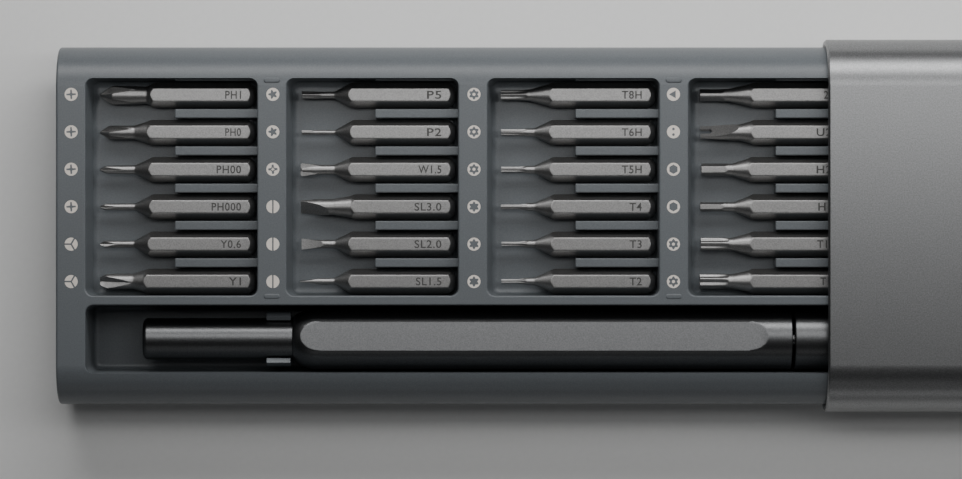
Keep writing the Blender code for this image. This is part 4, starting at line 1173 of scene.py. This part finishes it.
def ground_face(spec, side, place):
    """The cutter that grinds one face of a blade: the region beyond a curve that leaves the axis as
    a power of the distance from the tip."""
    _, kind, width, shank, flute, *_, roll, _ = spec
    thin, bow = (0.5, 2.4) if kind == "fork" else (0.3 if width > 2.4 else 0.2, 1.6)
    s = np.linspace(-0.5, flute, 26)
    away = thin / 2 + (shank / 2 - thin / 2) * np.clip(s / flute, 0, 1) ** bow
    line = np.concatenate([[[4.0, REAR - flute]], [[4.0, REAR + 0.5]], np.stack([away, REAR - s], axis=-1)])
    return tip_cutter("ground_face", line, 4.0, 0, math.radians(roll) + math.pi * side, place)


def fork_slot(spec, place):
    """The cutter for the slot up the middle of a fork, round at its foot."""
    width, roll = spec[2], math.radians(spec[7])
    half, deep = 0.22 * width, 2.2
    turn = np.linspace(0, np.pi, 13)
    foot = np.stack([half * np.cos(turn), REAR - deep + half - half * np.sin(turn)], axis=-1)
    line = np.vstack([[[half, REAR + 0.5]], foot, [[-half, REAR + 0.5]]])
    return tip_cutter("fork_slot", line, 3.0, 1, roll, place)


class KIT_OT_codes(Operator):
    """Engrave each bit's size code on its upper flat"""

    bl_idname = "kit.codes"
    bl_label = "Size codes"

    def execute(self, context):
        settings = context.scene.kit_bits
        ink = finish("engraved_mark", settings.code, 0.6)
        for column, codes in enumerate(CODES):
            rear = TRAY_LEFT + BIT_START + column * POCKET_PITCH + BIT_LENGTH
            for row, (code, width) in enumerate(codes):
                name = BITS[column][row][0]
                mesh = code_mesh(f"code_{name}", code, width * MM, settings, rear - 2.45 * MM, row_y(row))
                show(f"code_{name}", mesh, ink, f"{name}_bit")
        return {"FINISHED"}


# each code and its width in mm
CODES = (
    (("PH1", 2.85), ("PH0", 2.85), ("PH00", 4.4), ("PH000", 5.3), ("Y0.6", 3.7), ("Y1", 2.2)),
    (("P5", 2.6), ("P2", 2.6), ("W1.5", 4.15), ("SL3.0", 4.85), ("SL2.0", 4.85), ("SL1.5", 4.6)),
    (("T8H", 3.6), ("T6H", 3.6), ("T5H", 3.6), ("T4", 2.2), ("T3", 2.2), ("T2", 2.2)),
    (("2.30", 3.3), ("U2.6", 4.6), ("H2.0", 4.6), ("H1.5", 4.3), ("T10H", 4.5), ("T15H", 3.9)),
)


def code_mesh(name, code, width, settings, right, y):
    """A size code as a thin inlay in a bit's upper flat, its right end at the given place.

    The letters' own outline is scaled to the code's width and to the height of its capitals.
    """
    text = bpy.data.curves.new(name, "FONT")
    text.body = code
    text.size = 2 * MM
    text.space_character = 1.1
    text.extrude = 0.012 * MM
    text.resolution_u = 4
    text.offset = 0.03 * MM
    mesh = solid_from(text)
    points = vertex_places(mesh)
    low, high = points.min(axis=0), points.max(axis=0)
    wanted = np.array([width, settings.code_height, high[2] - low[2]])
    points = (points - low) / (high - low) * wanted
    top = BIT_AXIS_Z + BIT_HALF
    points += np.array([right - width, y - settings.code_height / 2, top + 0.008 * MM - wanted[2]])
    mesh.vertices.foreach_set("co", points.ravel())
    return mesh


# ---------------------------------------------------------------- carried-over fittings


class KIT_OT_fittings(Operator):
    """Give the latch, magnets, bearing and fastenings their finishes"""

    bl_idname = "kit.fittings"
    bl_label = "Fittings"

    def execute(self, context):
        nickel = finish("nickel_plate", (0.62, 0.61, 0.585), 0.16)
        chosen = {
            "latch_housing": black_moulding(),
            "latch_carriage": finish("slick_moulding", (0.05, 0.05, 0.053), 0.38),
            "latch_spring": finish("spring_wire", (0.50, 0.49, 0.475), 0.3),
            "socket_magnet": nickel,
        }
        for index in range(1, POCKETS + 1):
            chosen[f"magnet_strip_{index}"] = nickel
        for name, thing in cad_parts.items():
            if not thing.hide_render:
                for place in thing.material_slots:
                    place.material = chosen.get(name, turned_steel())
        return {"FINISHED"}


# ---------------------------------------------------------------- floor, lights and camera


class KIT_OT_stage(Operator):
    """Lay the floor, hang the lights and set up the camera"""

    bl_idname = "kit.stage"
    bl_label = "Stage"

    def execute(self, context):
        settings = context.scene.kit_stage
        board = finish("floor_board", settings.floor, 0.75)
        floor_mesh = bpy.data.meshes.new("floor")
        reach = 2.0
        corners = [(-reach, -reach, 0), (reach, -reach, 0), (reach, reach, 0), (-reach, reach, 0)]
        floor_mesh.from_pydata(np.array(corners) - [0, 0, 0.1 * MM], [], [(0, 1, 2, 3)])
        floor_mesh.materials.append(board)
        floor = bpy.data.objects.new("floor", floor_mesh)
        context.scene.collection.objects.link(floor)

        for index, (lean, power, row) in enumerate(LIGHT_BANK, 1):
            strip_light(f"strip_{index}", math.radians(lean), power * settings.power, row)

        world = bpy.data.worlds.new("studio")
        world.use_nodes = True
        context.scene.world = world
        background = world.node_tree.nodes["Background"]
        background.inputs["Color"].default_value = (0.93, 0.96, 1.0, 1)
        background.inputs["Strength"].default_value = settings.fill

        lens = bpy.data.cameras.new("camera")
        lens.lens = LENS
        lens.sensor_width = SENSOR
        lens.clip_start = 0.01
        lens.clip_end = 20.0
        camera = bpy.data.objects.new("camera", lens)
        camera.location = CAMERA_PLACE
        context.scene.collection.objects.link(camera)
        context.scene.camera = camera
        return {"FINISHED"}


CAMERA_PLACE = (-76.94 * MM, -2.5 * MM, 686.2 * MM)
LENS, SENSOR = 139.7, 36.0

NEAR = (0.19, 0.015, 0.47, 0.035)
FAR = (0.42, 0.08, 0.8, 0.07)
FAR_WIDE = (0.42, 0.08, 0.8, 0.1)
LIGHT_BANK = (
    (8, 0.21, FAR),
    (15, 0.12, NEAR),
    (25, 0.05, NEAR),
    (45, 0.12, NEAR),
    (60, 0.22, NEAR),
    (50, 0.65, FAR),
    (-50, 0.05, FAR_WIDE),
    (-75, 0.13, FAR_WIDE),
)


def strip_light(name, lean, power, row):
    away, middle, length, width = row
    lamp = bpy.data.lights.new(name, "AREA")
    lamp.shape = "RECTANGLE"
    lamp.size, lamp.size_y = length, width
    lamp.energy = power
    thing = bpy.data.objects.new(name, lamp)
    target = Vector((middle, 0, 0.012))
    thing.location = target + away * Vector((0, math.sin(lean), math.cos(lean)))
    thing.rotation_euler = (target - thing.location).to_track_quat("-Z", "Y").to_euler()
    bpy.context.scene.collection.objects.link(thing)


# ---------------------------------------------------------------- panel and registration


STEPS = (
    KIT_OT_sleeve,
    KIT_OT_tray,
    KIT_OT_symbols,
    KIT_OT_handle,
    KIT_OT_bits,
    KIT_OT_codes,
    KIT_OT_fittings,
    KIT_OT_stage,
)
SETTINGS = {
    "kit_sleeve": KitSleeveSettings,
    "kit_tray": KitTraySettings,
    "kit_bits": KitBitSettings,
    "kit_handle": KitHandleSettings,
    "kit_stage": KitStageSettings,
}


class KIT_PT_build(Panel):
    bl_idname = "KIT_PT_build"
    bl_label = "Screwdriver Kit"
    bl_space_type = "VIEW_3D"
    bl_region_type = "UI"
    bl_category = "Kit"

    def draw(self, context):
        for name, group in SETTINGS.items():
            box = self.layout.box()
            box.label(text=group.__doc__)
            for prop in group.__annotations__:
                box.prop(getattr(context.scene, name), prop)
        for step in STEPS:
            self.layout.operator(step.bl_idname)


def register():
    """Registers the settings, the operators and the panel."""
    for each in (*SETTINGS.values(), *STEPS, KIT_PT_build):
        bpy.utils.register_class(each)
    for name, group in SETTINGS.items():
        setattr(bpy.types.Scene, name, PointerProperty(type=group))


def unregister():
    """Takes them away again."""
    for name in SETTINGS:
        delattr(bpy.types.Scene, name)
    for each in (KIT_PT_build, *reversed(STEPS), *SETTINGS.values()):
        bpy.utils.unregister_class(each)


def main():
    register()
    for step in STEPS:
        group, name = step.bl_idname.split(".")
        getattr(getattr(bpy.ops, group), name)()


if __name__ == "__main__":
    main()
